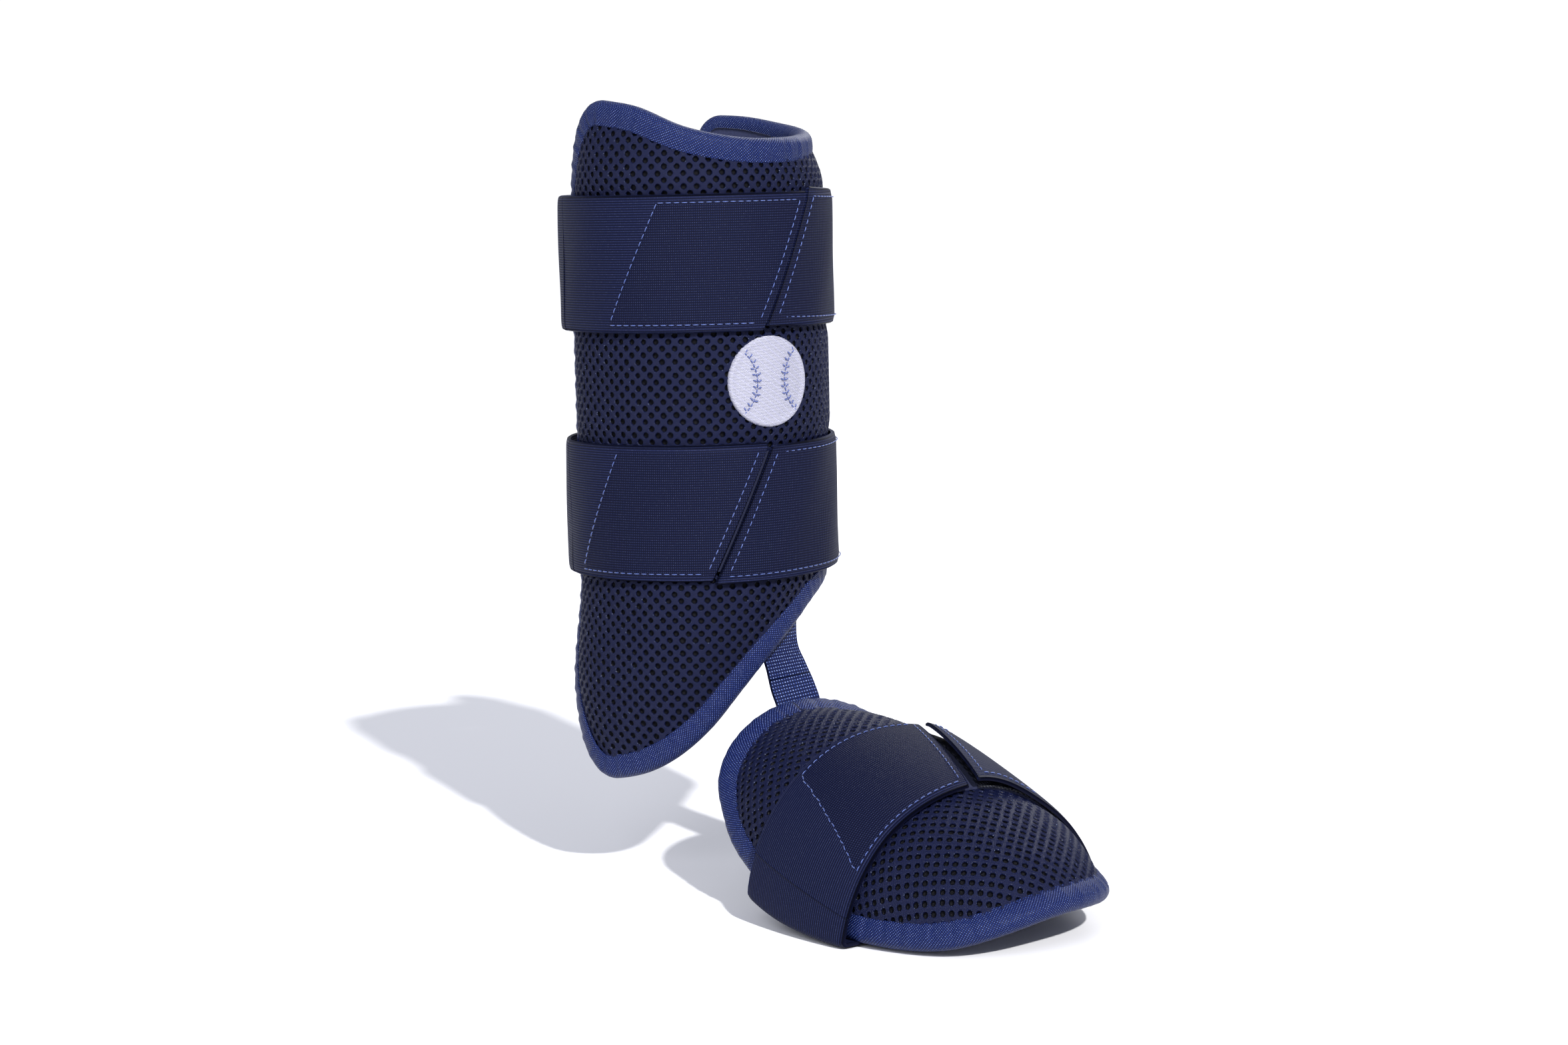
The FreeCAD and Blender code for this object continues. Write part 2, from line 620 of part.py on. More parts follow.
def webbing():
    half_arc = "Sizes.webbing_width / 2 / Sizes.webbing_outside * " + DEGREES
    start = "Sizes.webbing_turn - " + half_arc
    end = "Sizes.webbing_turn + " + half_arc
    tab, _ = ring_piece("connector_shin_tab", "Sizes.webbing_inside", "Sizes.webbing_outside",
                        "Sizes.webbing_sewn_end",
                        "Sizes.webbing_sewn_top - Sizes.webbing_sewn_end", start, end)
    keep(tab, "connector_shin_tab")
    backing, _ = ring_piece("connector_backing", "Sizes.webbing_outside + 0.05",
                            "Sizes.lining_inside - 0.05",
                            "Sizes.webbing_sewn_top - Sizes.webbing_pad_height",
                            "Sizes.webbing_pad_height", start, end)
    keep(backing, "connector_backing")

    turn = math.radians(size("webbing_turn"))
    middle = 0.5 * (size("webbing_inside") + size("webbing_outside"))
    top = Vector(middle * math.sin(turn), -middle * math.cos(turn),
                 size("webbing_sewn_end") - 0.5 * size("joint_gap"))
    run = Vector(size("webbing_side"), -size("webbing_reach"), -size("webbing_drop"))
    across = Vector(1, 0, 0)
    facing = run.cross(across)
    facing.normalize()
    across = facing.cross(run)
    across.normalize()
    down = Vector(run)
    down.normalize()
    # Local axes of the strip: X across it, Y through it, Z up towards the shin.
    turned = Rotation(across, facing, down * -1.0, "ZXY")
    gap = 0.5 * size("joint_gap")
    strip = doc.addObject("Part::Box", "webbing_strip")
    bind(strip, Length="Sizes.webbing_width", Width="Sizes.webbing_thick")
    strip.Height = run.Length - 2 * gap
    base = top + run - down * gap
    offset = turned.multVec(Vector(-0.5 * size("webbing_width"), -0.5 * size("webbing_thick"), 0))
    strip.Placement = Placement(base + offset, turned)
    keep(strip, "connector_webbing")

    tab = doc.addObject("Part::Box", "foot_tab")
    bind(tab, Length="Sizes.webbing_width", Width="Sizes.webbing_thick",
         Height="Sizes.foot_tab_length")
    level = Rotation(Vector(0, 0, 1), math.degrees(math.atan2(across.y, across.x)))
    base = top + run + Vector(0, 0, -size("foot_tab_length") - gap)
    offset = level.multVec(Vector(-0.5 * size("webbing_width"), -0.5 * size("webbing_thick"), 0))
    tab.Placement = Placement(base + offset, level)
    keep(tab, "connector_foot_tab")


shin_pad()
emblem()
leg_strap("upper_strap", "upper_strap_base", "upper_seam", "patch_end_upper")
leg_strap("lower_strap", "lower_strap_base", "lower_seam", "patch_end_lower")
foot_pad()
foot_strap()
webbing()
doc.recompute()

faults = [obj.Name for obj in doc.Objects if "Invalid" in obj.State or "Error" in obj.State]
for obj in subparts:
    if obj.Shape.isNull() or not obj.Shape.isValid() or not obj.Shape.Solids:
        faults.append(obj.Label)
if faults:
    raise RuntimeError("failed objects: " + ", ".join(faults))

os.makedirs("parts", exist_ok=True)
for obj in subparts:
    obj.Shape.exportStep("parts/%s.step" % obj.Label)
    box = obj.Shape.BoundBox
    print("%-26s %d solid(s) %9.0f mm3  x %.1f %.1f  y %.1f %.1f  z %.1f %.1f" % (
        obj.Label, len(obj.Shape.Solids), obj.Shape.Volume,
        box.XMin, box.XMax, box.YMin, box.YMax, box.ZMin, box.ZMax))
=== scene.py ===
import json
import math

import bpy
import numpy as np
from mathutils import Matrix, Vector


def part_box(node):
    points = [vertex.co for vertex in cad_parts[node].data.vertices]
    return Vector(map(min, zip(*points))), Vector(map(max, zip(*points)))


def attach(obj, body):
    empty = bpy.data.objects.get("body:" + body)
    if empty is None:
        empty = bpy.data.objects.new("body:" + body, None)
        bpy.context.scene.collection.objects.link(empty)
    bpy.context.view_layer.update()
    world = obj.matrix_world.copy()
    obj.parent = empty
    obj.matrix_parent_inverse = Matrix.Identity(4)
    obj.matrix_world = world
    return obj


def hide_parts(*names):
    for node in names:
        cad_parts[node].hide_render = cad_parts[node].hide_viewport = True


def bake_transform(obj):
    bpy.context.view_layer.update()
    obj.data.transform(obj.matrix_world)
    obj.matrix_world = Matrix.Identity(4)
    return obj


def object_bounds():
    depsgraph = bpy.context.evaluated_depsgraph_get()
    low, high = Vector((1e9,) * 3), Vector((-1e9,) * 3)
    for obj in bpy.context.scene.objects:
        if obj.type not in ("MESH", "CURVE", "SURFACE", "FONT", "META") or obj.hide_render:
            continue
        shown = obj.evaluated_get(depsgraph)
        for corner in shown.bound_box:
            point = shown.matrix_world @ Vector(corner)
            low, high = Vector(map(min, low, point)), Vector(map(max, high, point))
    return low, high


# A batter's leg guard: a shin pad with two elastic straps, and a foot guard on webbing.
# Shapes are worked out in millimetres in the CAD frame and stored in metres.
# Round the leg, angles are in degrees from the front (-Y) towards +X.

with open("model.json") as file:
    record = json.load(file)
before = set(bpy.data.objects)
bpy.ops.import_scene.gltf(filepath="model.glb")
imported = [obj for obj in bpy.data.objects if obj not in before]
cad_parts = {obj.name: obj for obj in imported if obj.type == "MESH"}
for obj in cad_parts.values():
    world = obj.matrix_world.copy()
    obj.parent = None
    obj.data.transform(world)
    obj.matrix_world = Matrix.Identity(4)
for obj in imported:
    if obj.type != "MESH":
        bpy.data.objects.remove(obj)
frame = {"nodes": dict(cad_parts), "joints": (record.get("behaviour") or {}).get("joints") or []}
cad_low, cad_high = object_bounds()
MM = 0.001


def box_mm(node):
    low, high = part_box(node)
    return np.array(low) / MM, np.array(high) / MM


UPPER_BOX, LOWER_BOX = box_mm("upper_strap_band"), box_mm("lower_strap_band")
UPPER = (UPPER_BOX[0][2], UPPER_BOX[1][2])
LOWER = (LOWER_BOX[0][2], LOWER_BOX[1][2])
BAND_RADIUS = UPPER_BOX[1][1]
JOINTS = {joint["name"]: joint for joint in frame["joints"]}
FLOOR = cad_low.z / MM - 0.4

# ---------------------------------------------------------------- numbers of the design

LEFT_EDGE, RIGHT_EDGE = -122.0, 146.0
MESH_RADIUS = 49.0
PER_DEGREE = math.radians(1.0) * MESH_RADIUS
LEFT_CORNER, TOP_CORNER, BOTTOM_CORNER = 36.0, 75.0, 80.0
RIGHT_CORNER = 12.0
TOP_EDGE = [(-122, 110), (-95, 110), (-74, 108.5), (-58, 106), (-35, 98.5), (-10, 94.5),
            (15, 94), (45, 95.5), (90, 99.5), (120, 103), (146, 104)]
BOTTOM_EDGE = [(-122, -147), (-90, -147.5), (-75, -146), (-60, -142.5), (-45, -136),
               (-30, -126), (-15, -112.5), (0, -100), (15, -90), (30, -82), (50, -77),
               (70, -75), (110, -74), (146, -74)]
PAD_OUTSIDE, PAD_INSIDE = 46.6, 38.6
TAPE_OUTSIDE = 47.55

LEFT_HINGE, RIGHT_HINGE = -100.0, 82.0
SEAM_LEAN = math.tan(math.radians(25.0))
HINGE_OVERLAP = 6.0
RIGHT_PATCH = 66.0
ELASTIC, STRAP_WIDTH = 1.4, 50.0

FOOT_LONG, FOOT_WIDE, FOOT_RISE = 126.0, 58.5, 56.7
FOOT_CENTRE = np.array([15.0, -110.0, -185.4])
FOOT_PITCH, FOOT_ROLL, FOOT_YAW = (math.radians(a) for a in (16.5, 6.4, 2.9))
FOOT_RIM = [(-86, 54), (-80, 44), (-73, 35), (-64, 27), (-45, 18.7), (-22, 14.5), (0, 13),
            (25, 16.4), (50, 22.7), (68, 30), (80, 39.5), (88, 50)]
FOOT_STRAP = (-98.0, -149.0)
FOOT_HINGE_HEIGHT = 30.0
FOOT_SEAM, FOOT_RIGHT_END, FOOT_PATCH = (30.0, 15.0), (33.0, 18.0), (-23.0, -33.0)
FOOT_ELASTIC_BASE, SOLE_CLEARANCE, SOLE_SAG = 2.0, 1.3, (7.0, 1.5)
FOOT_THICK = 9.5

WEBBING_HALF, WEBBING_RADIUS = 9.9, 36.9

# ---------------------------------------------------------------- curves


def smooth(low, high, x):
    """0 below low, 1 above high, and an even ease between."""
    part = np.clip((np.asarray(x, float) - low) / (high - low), 0.0, 1.0)
    return part * part * (3.0 - 2.0 * part)


def ease(points, at):
    """Smooth curve through (x, y) points, with each slope taken from the two neighbours."""
    table = np.array(points, float)
    at = np.asarray(at, float)
    last = len(table) - 1
    near = np.clip(np.arange(last + 1)[:, None] + [-1, 1], 0, last)
    rise = table[near[:, 1]] - table[near[:, 0]]
    slope = rise[:, 1] / rise[:, 0]
    i = np.clip(np.searchsorted(table[:, 0], at, side="right") - 1, 0, last - 1)
    width = table[i + 1, 0] - table[i, 0]
    p = (at - table[i, 0]) / width
    return ((2 * p**3 - 3 * p**2 + 1) * table[i, 1] + (p**3 - 2 * p**2 + p) * width * slope[i]
            + (3 * p**2 - 2 * p**3) * table[i + 1, 1] + (p**3 - p**2) * width * slope[i + 1])


def corner_drop(distance, width, height):
    part = np.clip(distance / width, 0.0, 1.0)
    return height * (1.0 - np.sqrt(np.maximum(0.0, 1.0 - (1.0 - part) ** 2)))


def pad_edges(angle, inset=0.0):
    """Lower and upper edge of the shin pad's outline at each angle, moved in by inset."""
    left = (angle - LEFT_EDGE) * PER_DEGREE - inset
    right = (RIGHT_EDGE - angle) * PER_DEGREE - inset
    small = RIGHT_CORNER - min(inset, 6.0)
    edges = []
    for points, sign, tall in ((BOTTOM_EDGE, 1, BOTTOM_CORNER), (TOP_EDGE, -1, TOP_CORNER)):
        rise = (ease(points, angle + 1.0) - ease(points, angle - 1.0)) / (2.0 * PER_DEGREE)
        height = ease(points, angle) + sign * inset * np.hypot(1.0, rise)
        height = height + sign * corner_drop(left, LEFT_CORNER - inset, tall - inset)
        edges.append(height + sign * corner_drop(right, small, small))
    return edges


def even_steps(path, step):
    """Points along a polyline at even distances, with their distances."""
    run = np.r_[0.0, np.cumsum(np.linalg.norm(np.diff(path, axis=0), axis=1))]
    count = max(2, int(round(run[-1] / step)) + 1)
    at = np.linspace(0.0, run[-1], count)
    return np.stack([np.interp(at, run, path[:, k]) for k in range(path.shape[1])], 1), at


def rim_path(step):
    """The pad's outline, unrolled, walked anticlockwise from the middle of the right edge."""
    turn = 0.5 * (1.0 - np.cos(np.linspace(0.0, math.pi, 400)))
    angles = LEFT_EDGE + (RIGHT_EDGE - LEFT_EDGE) * turn
    low, high = pad_edges(angles)
    run = angles * PER_DEGREE
    middle = 0.5 * (low[-1] + high[-1])
    upper = np.stack([run, high], 1)[::-1]
    lower = np.stack([run, low], 1)
    start = np.array([[run[-1], middle]])
    return even_steps(np.concatenate([start, upper, lower, start]), step)


RIM, _ = rim_path(1.5)


def rim_distance(run, height):
    """Distance in the unrolled pad from each point to the outline."""
    points = np.stack([np.ravel(run), np.ravel(height)], 1)
    best = np.full(len(points), 1e9)
    for part in np.array_split(RIM, 12):
        gap = np.linalg.norm(points[:, None, :] - part[None], axis=2)
        best = np.minimum(best, gap.min(1))
    return best.reshape(np.shape(run))


def flare(angle, height):
    """How far the pad stands out beside the ankle bone, and draws in at the top right."""
    lobe = smooth(-70, -118, height) * smooth(-55, -110, angle) * 4.5
    neck = smooth(74, 98, height) * smooth(-5, 60, angle) * 2.2
    return lobe - neck


def pad_outside(run, height):
    """Radius of the pad's outer cover at points of the unrolled pad."""
    angle = run / PER_DEGREE
    away = rim_distance(run, height)
    crown = 2.6 * (1.0 - np.exp(-(np.maximum(away - 6.5, 0.0) / 7.0) ** 1.3))
    held = 0.0
    for low, high in (UPPER, LOWER):
        held = held + smooth(low - 7, low + 3, height) * smooth(high + 7, high - 3, height)
    swell = 0.7 * (1.0 - held) * smooth(12, 26, away)
    return PAD_OUTSIDE + crown + swell - 0.35 * held + flare(angle, height)


def pad_inside(run, height):
    away = rim_distance(run, height)
    return PAD_INSIDE + 1.6 * np.exp(-(away / 9.0) ** 2) + flare(run / PER_DEGREE, height)


def on_leg(run, height, radius):
    """Points in space for distances round the leg, heights and radii."""
    turn = np.asarray(run) / MESH_RADIUS
    return np.stack([radius * np.sin(turn), -radius * np.cos(turn),
                     np.broadcast_to(height, np.shape(turn))], -1)


# ---------------------------------------------------------------- meshes


def set_shade(obj, shade):
    """One number for each point, for the material. Points past the end of shade get 0."""
    values = np.zeros(len(obj.data.vertices), np.float32)
    values[:shade.size] = shade.ravel()
    tone = obj.data.attributes.new("shade", "FLOAT", "POINT")
    tone.data.foreach_set("value", values)


def make(name, verts, faces, material, body=None, cloth=None, shade=None):
    """Mesh object from points in millimetres. cloth holds a (u, v) in millimetres for each
    point, which the weave of a material follows; shade holds one number for each point."""
    mesh = bpy.data.meshes.new(name)
    mesh.from_pydata((np.asarray(verts) * MM).tolist(), [], faces)
    mesh.update()
    obj = bpy.data.objects.new(name, mesh)
    bpy.context.scene.collection.objects.link(obj)
    if cloth is not None:
        data = mesh.attributes.new("cloth", "FLOAT_VECTOR", "POINT")
        flat = np.zeros((len(verts), 3), np.float32)
        flat[:, :2] = cloth
        data.data.foreach_set("vector", flat.ravel())
    if shade is not None:
        set_shade(obj, shade)
    mesh.polygons.foreach_set("use_smooth", [True] * len(mesh.polygons))
    mesh.materials.append(material)
    if body:
        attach(obj, body)
    return obj


def grid_faces(rows, cols, wrap_rows=False, wrap_cols=False, start=0):
    """Quads of a grid whose points are stored row by row."""
    i = np.arange(rows if wrap_rows else rows - 1)
    j = np.arange(cols if wrap_cols else cols - 1)
    a, b = np.meshgrid(i, j, indexing="ij")
    a, b = a.ravel(), b.ravel()
    a2, b2 = (a + 1) % rows, (b + 1) % cols
    quads = np.stack([a * cols + b, a2 * cols + b, a2 * cols + b2, a * cols + b2], 1)
    return (quads + start).tolist()


def thick_sheet(name, outer, inner, material, body, cloth):
    """Closed cloth from an outer and an inner grid, with its edges rounded over."""
    rows, cols = outer.shape[:2]
    verts = np.concatenate([outer.reshape(-1, 3), inner.reshape(-1, 3)])
    uv = np.concatenate([cloth.reshape(-1, 2)] * 2)
    half = rows * cols
    faces = grid_faces(rows, cols)
    faces += [f[::-1] for f in grid_faces(rows, cols, start=half)]
    border = ([(0, j) for j in range(cols)] + [(i, cols - 1) for i in range(1, rows)]
              + [(rows - 1, j) for j in range(cols - 2, -1, -1)]
              + [(i, 0) for i in range(rows - 2, 0, -1)])
    index = [i * cols + j for i, j in border]
    middle = 0.5 * (outer.reshape(-1, 3)[index] + inner.reshape(-1, 3)[index])
    inward = np.array([outer[min(max(i, 1), rows - 2), min(max(j, 1), cols - 2)] - outer[i, j]
                       for i, j in border])
    inward /= np.linalg.norm(inward, axis=1)[:, None]
    thick = np.linalg.norm(outer.reshape(-1, 3)[index] - inner.reshape(-1, 3)[index], axis=1)
    bulge = middle - inward * (0.35 * thick)[:, None]
    base = len(verts)
    verts = np.concatenate([verts, bulge])
    uv = np.concatenate([uv, cloth.reshape(-1, 2)[index]])
    count = len(index)
    for k in range(count):
        m = (k + 1) % count
        faces.append([index[m], index[k], base + k, base + m])
        faces.append([base + m, base + k, half + index[k], half + index[m]])
    return make(name, verts, faces, material, body, uv)


# ---------------------------------------------------------------- materials


class Look:
    """Short way to write a node material."""

    def __init__(self, name, roughness, sheen=0.0, sheen_tint=(1, 1, 1, 1), specular=0.5):
        self.mat = bpy.data.materials.new(name)
        self.mat.use_nodes = True
        self.nodes = self.mat.node_tree.nodes
        self.links = self.mat.node_tree.links
        self.shader = self.nodes["Principled BSDF"]
        self.shader.inputs["Roughness"].default_value = roughness
        self.shader.inputs["Sheen Weight"].default_value = sheen
        self.shader.inputs["Sheen Tint"].default_value = sheen_tint
        self.shader.inputs["Specular IOR Level"].default_value = specular

    def node(self, kind, **values):
        node = self.nodes.new(kind)
        for key, value in values.items():
            setattr(node, key, value)
        return node

    def link(self, source, target):
        self.links.new(source, target)

    def attribute(self, name):
        return self.node("ShaderNodeAttribute", attribute_name=name)

    def cloth(self):
        return self.attribute("cloth").outputs["Vector"]

    def math(self, operation, a, b=None):
        node = self.node("ShaderNodeMath", operation=operation)
        for socket, value in zip(node.inputs, (a, b)):
            if value is None:
                continue
            if isinstance(value, (int, float)):
                socket.default_value = value
            else:
                self.link(value, socket)
        return node.outputs[0]

    def split(self, vector):
        node = self.node("ShaderNodeSeparateXYZ")
        self.link(vector, node.inputs[0])
        return node.outputs

    def wave(self, value, pitch, phase=0.0):
        """Smooth wave from 0 to 1 that repeats every pitch."""
        turned = self.math("MULTIPLY_ADD", value, 2.0 * math.pi / pitch)
        turned.node.inputs[2].default_value = phase
        return self.math("ADD", self.math("MULTIPLY", self.math("SINE", turned), 0.5), 0.5)

    def noise(self, vector, scale, detail=2.0, roughness=0.5):
        node = self.node("ShaderNodeTexNoise")
        node.inputs["Scale"].default_value = scale
        node.inputs["Detail"].default_value = detail
        node.inputs["Roughness"].default_value = roughness
        self.link(vector, node.inputs["Vector"])
        return node.outputs["Fac"]

    def mix(self, factor, a, b):
        node = self.node("ShaderNodeMix", data_type="RGBA")
        for socket, value in ((node.inputs["Factor"], factor), (node.inputs[6], a),
                              (node.inputs[7], b)):
            if hasattr(value, "node"):
                self.link(value, socket)
            else:
                socket.default_value = value
        return node.outputs[2]

    def ramp(self, value, low, high):
        node = self.node("ShaderNodeMapRange", interpolation_type="SMOOTHSTEP")
        self.link(value, node.inputs["Value"])
        node.inputs["From Min"].default_value = low
        node.inputs["From Max"].default_value = high
        return node.outputs["Result"]

    def colour(self, socket):
        self.link(socket, self.shader.inputs["Base Color"])

    def bump(self, height, distance, strength=1.0):
        node = self.node("ShaderNodeBump")
        node.inputs["Distance"].default_value = distance * MM
        node.inputs["Strength"].default_value = strength
        self.link(height, node.inputs["Height"])
        self.link(node.outputs["Normal"], self.shader.inputs["Normal"])


def spacer_mesh_look():
    """Knitted spacer mesh: shiny filaments round holes, with painted glints on the hole lips and
    painted shade down in the holes. shade is 1 down in a hole.
    """
    look = Look("spacer_mesh", 0.36, specular=0.16)
    cloth = look.cloth()
    shade = look.attribute("shade").outputs["Fac"]
    u, v, _ = look.split(cloth)
    strands = look.math("MULTIPLY", look.wave(look.math("ADD", u, v), 0.55),
                        look.wave(look.math("SUBTRACT", u, v), 0.55))
    fuzz = look.noise(cloth, 3.2, 3.0, 0.7)
    light = look.math("MULTIPLY", strands, look.ramp(fuzz, 0.45, 0.7))
    tone = look.mix(light, (0.003, 0.005, 0.027, 1), (0.014, 0.026, 0.125, 1))
    # Painted highlights: light blue-grey glints, placed by noise, on the lips of the holes.
    painted_glint = look.ramp(look.noise(cloth, 2.1, 4.0, 0.75), 0.60, 0.70)
    edge = look.math("MULTIPLY", painted_glint, look.ramp(shade, 0.02, 0.20))
    tone = look.mix(look.math("MULTIPLY", edge, 0.75), tone, (0.42, 0.5, 0.72, 1))
    # Painted shade: the colour darkens to near black as shade rises down each hole.
    look.colour(look.mix(look.ramp(shade, 0.35, 0.85), tone, (0.0015, 0.0018, 0.004, 1)))
    look.bump(look.math("ADD", strands, fuzz), 0.16, 0.9)
    return look.mat


def tape_look():
    """Ribbed binding tape: slanting ribs on royal navy, with painted highlights as small bright
    dots on the rib crests.
    """
    look = Look("edge_tape", 0.42, specular=0.16)
    cloth = look.cloth()
    u, v, _ = look.split(cloth)
    slant = look.math("ADD", look.math("MULTIPLY", u, 0.9), v)
    across = look.math("SUBTRACT", look.math("MULTIPLY", v, 0.9), u)
    ribs = look.wave(slant, 1.15)
    beads = look.wave(across, 0.95)
    weave = look.math("MULTIPLY", ribs, beads)
    fuzz = look.noise(cloth, 1.7, 3.0, 0.7)
    tone = look.mix(look.ramp(weave, 0.1, 0.75), (0.003, 0.006, 0.040, 1),
                    (0.012, 0.034, 0.19, 1))
    # Painted highlights: light blue dots where the ribs peak, placed by noise.
    painted_sparkle = look.math("MULTIPLY", look.ramp(weave, 0.72, 0.95), look.ramp(fuzz, 0.42, 0.62))
    look.colour(look.mix(look.math("MULTIPLY", painted_sparkle, 0.7), tone, (0.38, 0.50, 0.85, 1)))
    look.bump(look.math("ADD", weave, look.math("MULTIPLY", fuzz, 0.4)), 0.22, 1.0)
    return look.mat


def webbing_look():
    """Woven webbing on royal navy, with painted highlights as rows of small bright dots on the
    weave crests.
    """
    look = Look("webbing", 0.42, specular=0.16)
    cloth = look.cloth()
    u, v, _ = look.split(cloth)
    weave = look.math("MULTIPLY", look.wave(u, 1.25), look.wave(v, 1.2))
    fuzz = look.noise(cloth, 1.5, 3.0, 0.7)
    tone = look.mix(look.ramp(weave, 0.08, 0.7), (0.003, 0.006, 0.038, 1),
                    (0.014, 0.036, 0.19, 1))
    # Painted highlights: light blue dots where the weave peaks, placed by noise.
    painted_sparkle = look.math("MULTIPLY", look.ramp(weave, 0.6, 0.9), look.ramp(fuzz, 0.42, 0.6))
    look.colour(look.mix(look.math("MULTIPLY", painted_sparkle, 0.8), tone, (0.45, 0.58, 0.9, 1)))
    look.bump(weave, 0.3, 1.0)
    return look.mat


def elastic_look():
    """Woven elastic with fine ribs along it; where shade is 1, a hook patch shows as a grid."""
    look = Look("elastic", 0.55, specular=0.08)
    cloth = look.cloth()
    u, v, _ = look.split(cloth)
    ribs = look.wave(v, 0.93)
    ticks = look.wave(u, 0.8)
    fuzz = look.noise(cloth, 2.6, 3.0, 0.75)
    grid = look.math("MULTIPLY", ribs, look.math("ADD", ticks, 0.25))
    plain = look.math("ADD", look.math("MULTIPLY", ribs, 0.85),
                      look.math("MULTIPLY", ticks, 0.12))
    shade = look.ramp(look.attribute("shade").outputs["Fac"], 0.3, 0.7)
    weave = look.math("ADD", look.math("MULTIPLY", shade, grid),
                      look.math("MULTIPLY", look.math("SUBTRACT", 1.0, shade), plain))
    tone = look.mix(look.ramp(weave, 0.05, 0.95), (0.0022, 0.003, 0.0135, 1),
                    (0.0085, 0.0125, 0.048, 1))
    # Painted highlights: faint grey-blue flecks where the ribs peak, placed by noise.
    painted_sparkle = look.math("MULTIPLY", look.ramp(weave, 0.55, 1.0), look.ramp(fuzz, 0.5, 0.7))
    look.colour(look.mix(look.math("MULTIPLY", painted_sparkle, 0.30), tone, (0.16, 0.19, 0.34, 1)))
    look.bump(look.math("ADD", weave, look.math("MULTIPLY", fuzz, 0.35)), 0.2, 0.9)
    return look.mat


def thread_look(name, colour, light):
    """Twisted sewing thread, from its darker to its lighter colour."""
    look = Look(name, 0.4, 0.3, (1, 1, 1, 1), 0.5)
    coords = look.node("ShaderNodeTexCoord").outputs["Object"]
    fuzz = look.noise(coords, 1800.0, 2.0)
    look.colour(look.mix(fuzz, colour, light))
    look.bump(fuzz, 0.08, 0.6)
    return look.mat


def pile_look(name, dark, light):
    """Short fuzzy pile, for the loop panels, the lining and the inside of the pad."""
    look = Look(name, 0.85, 0.15, (0.5, 0.55, 0.9, 1), 0.2)
    coords = look.node("ShaderNodeTexCoord").outputs["Object"]
    fuzz = look.noise(coords, 1400.0, 4.0, 0.7)
    look.colour(look.mix(fuzz, dark, light))
    look.bump(fuzz, 0.25, 0.8)
    return look.mat


def hook_look():
    """Rows of small hooks."""
    look = Look("hook", 0.5, specular=0.4)
    u, _, v = look.split(look.node("ShaderNodeTexCoord").outputs["Object"])
    rows = look.math("MULTIPLY", look.wave(u, 1.3 * MM), look.wave(v, 1.3 * MM))
    look.colour(look.mix(look.ramp(rows, 0.3, 0.9), (0.004, 0.005, 0.010, 1),
                         (0.03, 0.034, 0.06, 1)))
    look.bump(rows, 0.6, 1.0)
    return look.mat


def plastic_look():
    """Grained black plastic of the hidden shells."""
    look = Look("shell", 0.5, specular=0.5)
    coords = look.node("ShaderNodeTexCoord").outputs["Object"]
    grain = look.noise(coords, 900.0, 3.0)
    look.colour(look.mix(grain, (0.03, 0.03, 0.034, 1), (0.05, 0.05, 0.056, 1)))
    look.bump(grain, 0.1, 0.5)
    return look.mat


def embroidery_look():
    """White satin stitching: fine parallel threads with short breaks, as a tatami fill."""
    look = Look("embroidery", 0.45, specular=0.3)
    cloth = look.cloth()
    u, v, _ = look.split(cloth)
    threads = look.wave(v, 0.45)
    breaks = look.wave(look.math("ADD", u, look.math("MULTIPLY", v, 1.3)), 3.2)
    fuzz = look.noise(cloth, 2.4, 3.0, 0.7)
    weave = look.math("MULTIPLY", threads, look.math("ADD", look.ramp(breaks, 0.0, 0.25), 0.4))
    # Painted shade: the white turns to a darker lavender between the threads.
    tone = look.mix(look.ramp(weave, 0.0, 0.8), (0.32, 0.32, 0.46, 1), (0.72, 0.72, 0.82, 1))
    look.colour(look.mix(look.math("MULTIPLY", look.ramp(fuzz, 0.55, 0.75), 0.35), tone,
                         (0.42, 0.42, 0.58, 1)))
    look.bump(look.math("ADD", weave, look.math("MULTIPLY", fuzz, 0.5)), 0.3, 1.0)
    return look.mat


LOOKS = {
    "mesh": spacer_mesh_look(),
    "tape": tape_look(),
    "webbing": webbing_look(),
    "elastic": elastic_look(),
    "stitch": thread_look("stitch_thread", (0.018, 0.04, 0.17, 1), (0.06, 0.11, 0.36, 1)),
    "lining": pile_look("lining_cloth", (0.010, 0.012, 0.035, 1), (0.035, 0.042, 0.10, 1)),
    "loop": pile_look("loop_pile", (0.006, 0.008, 0.022, 1), (0.028, 0.033, 0.08, 1)),
    "backing": pile_look("pad_core", (0.0015, 0.002, 0.005, 1), (0.006, 0.007, 0.016, 1)),
    "hook": hook_look(),
    "shell": plastic_look(),
    "embroidery": embroidery_look(),
    "seam_thread": thread_look("seam_thread", (0.03, 0.05, 0.2, 1), (0.08, 0.12, 0.35, 1)),
}

# ---------------------------------------------------------------- spacer mesh with real holes

HOLE_STEP_U, HOLE_STEP_V = 2.4, 2.475
# Each ring of points round a hole, from its lip down: radius, height and shade.
RINGS = [(1.44, 0.20, 0.0), (1.13, -0.02, 0.3), (1.02, -0.6, 0.85), (0.9, -1.15, 1.0)]


def lattice_cells(low, high):
    """Centres of the staggered holes inside a flat box."""
    i = np.arange(math.ceil(low[0] / HOLE_STEP_U), math.floor(high[0] / HOLE_STEP_U) + 1)
    j = np.arange(math.ceil(low[1] / HOLE_STEP_V) - 1, math.floor(high[1] / HOLE_STEP_V) + 1)
    a, b = np.meshgrid(i, j, indexing="ij")
    even = (a + b) % 2 == 0
    return np.stack([a[even] * HOLE_STEP_U, b[even] * HOLE_STEP_V], 1)


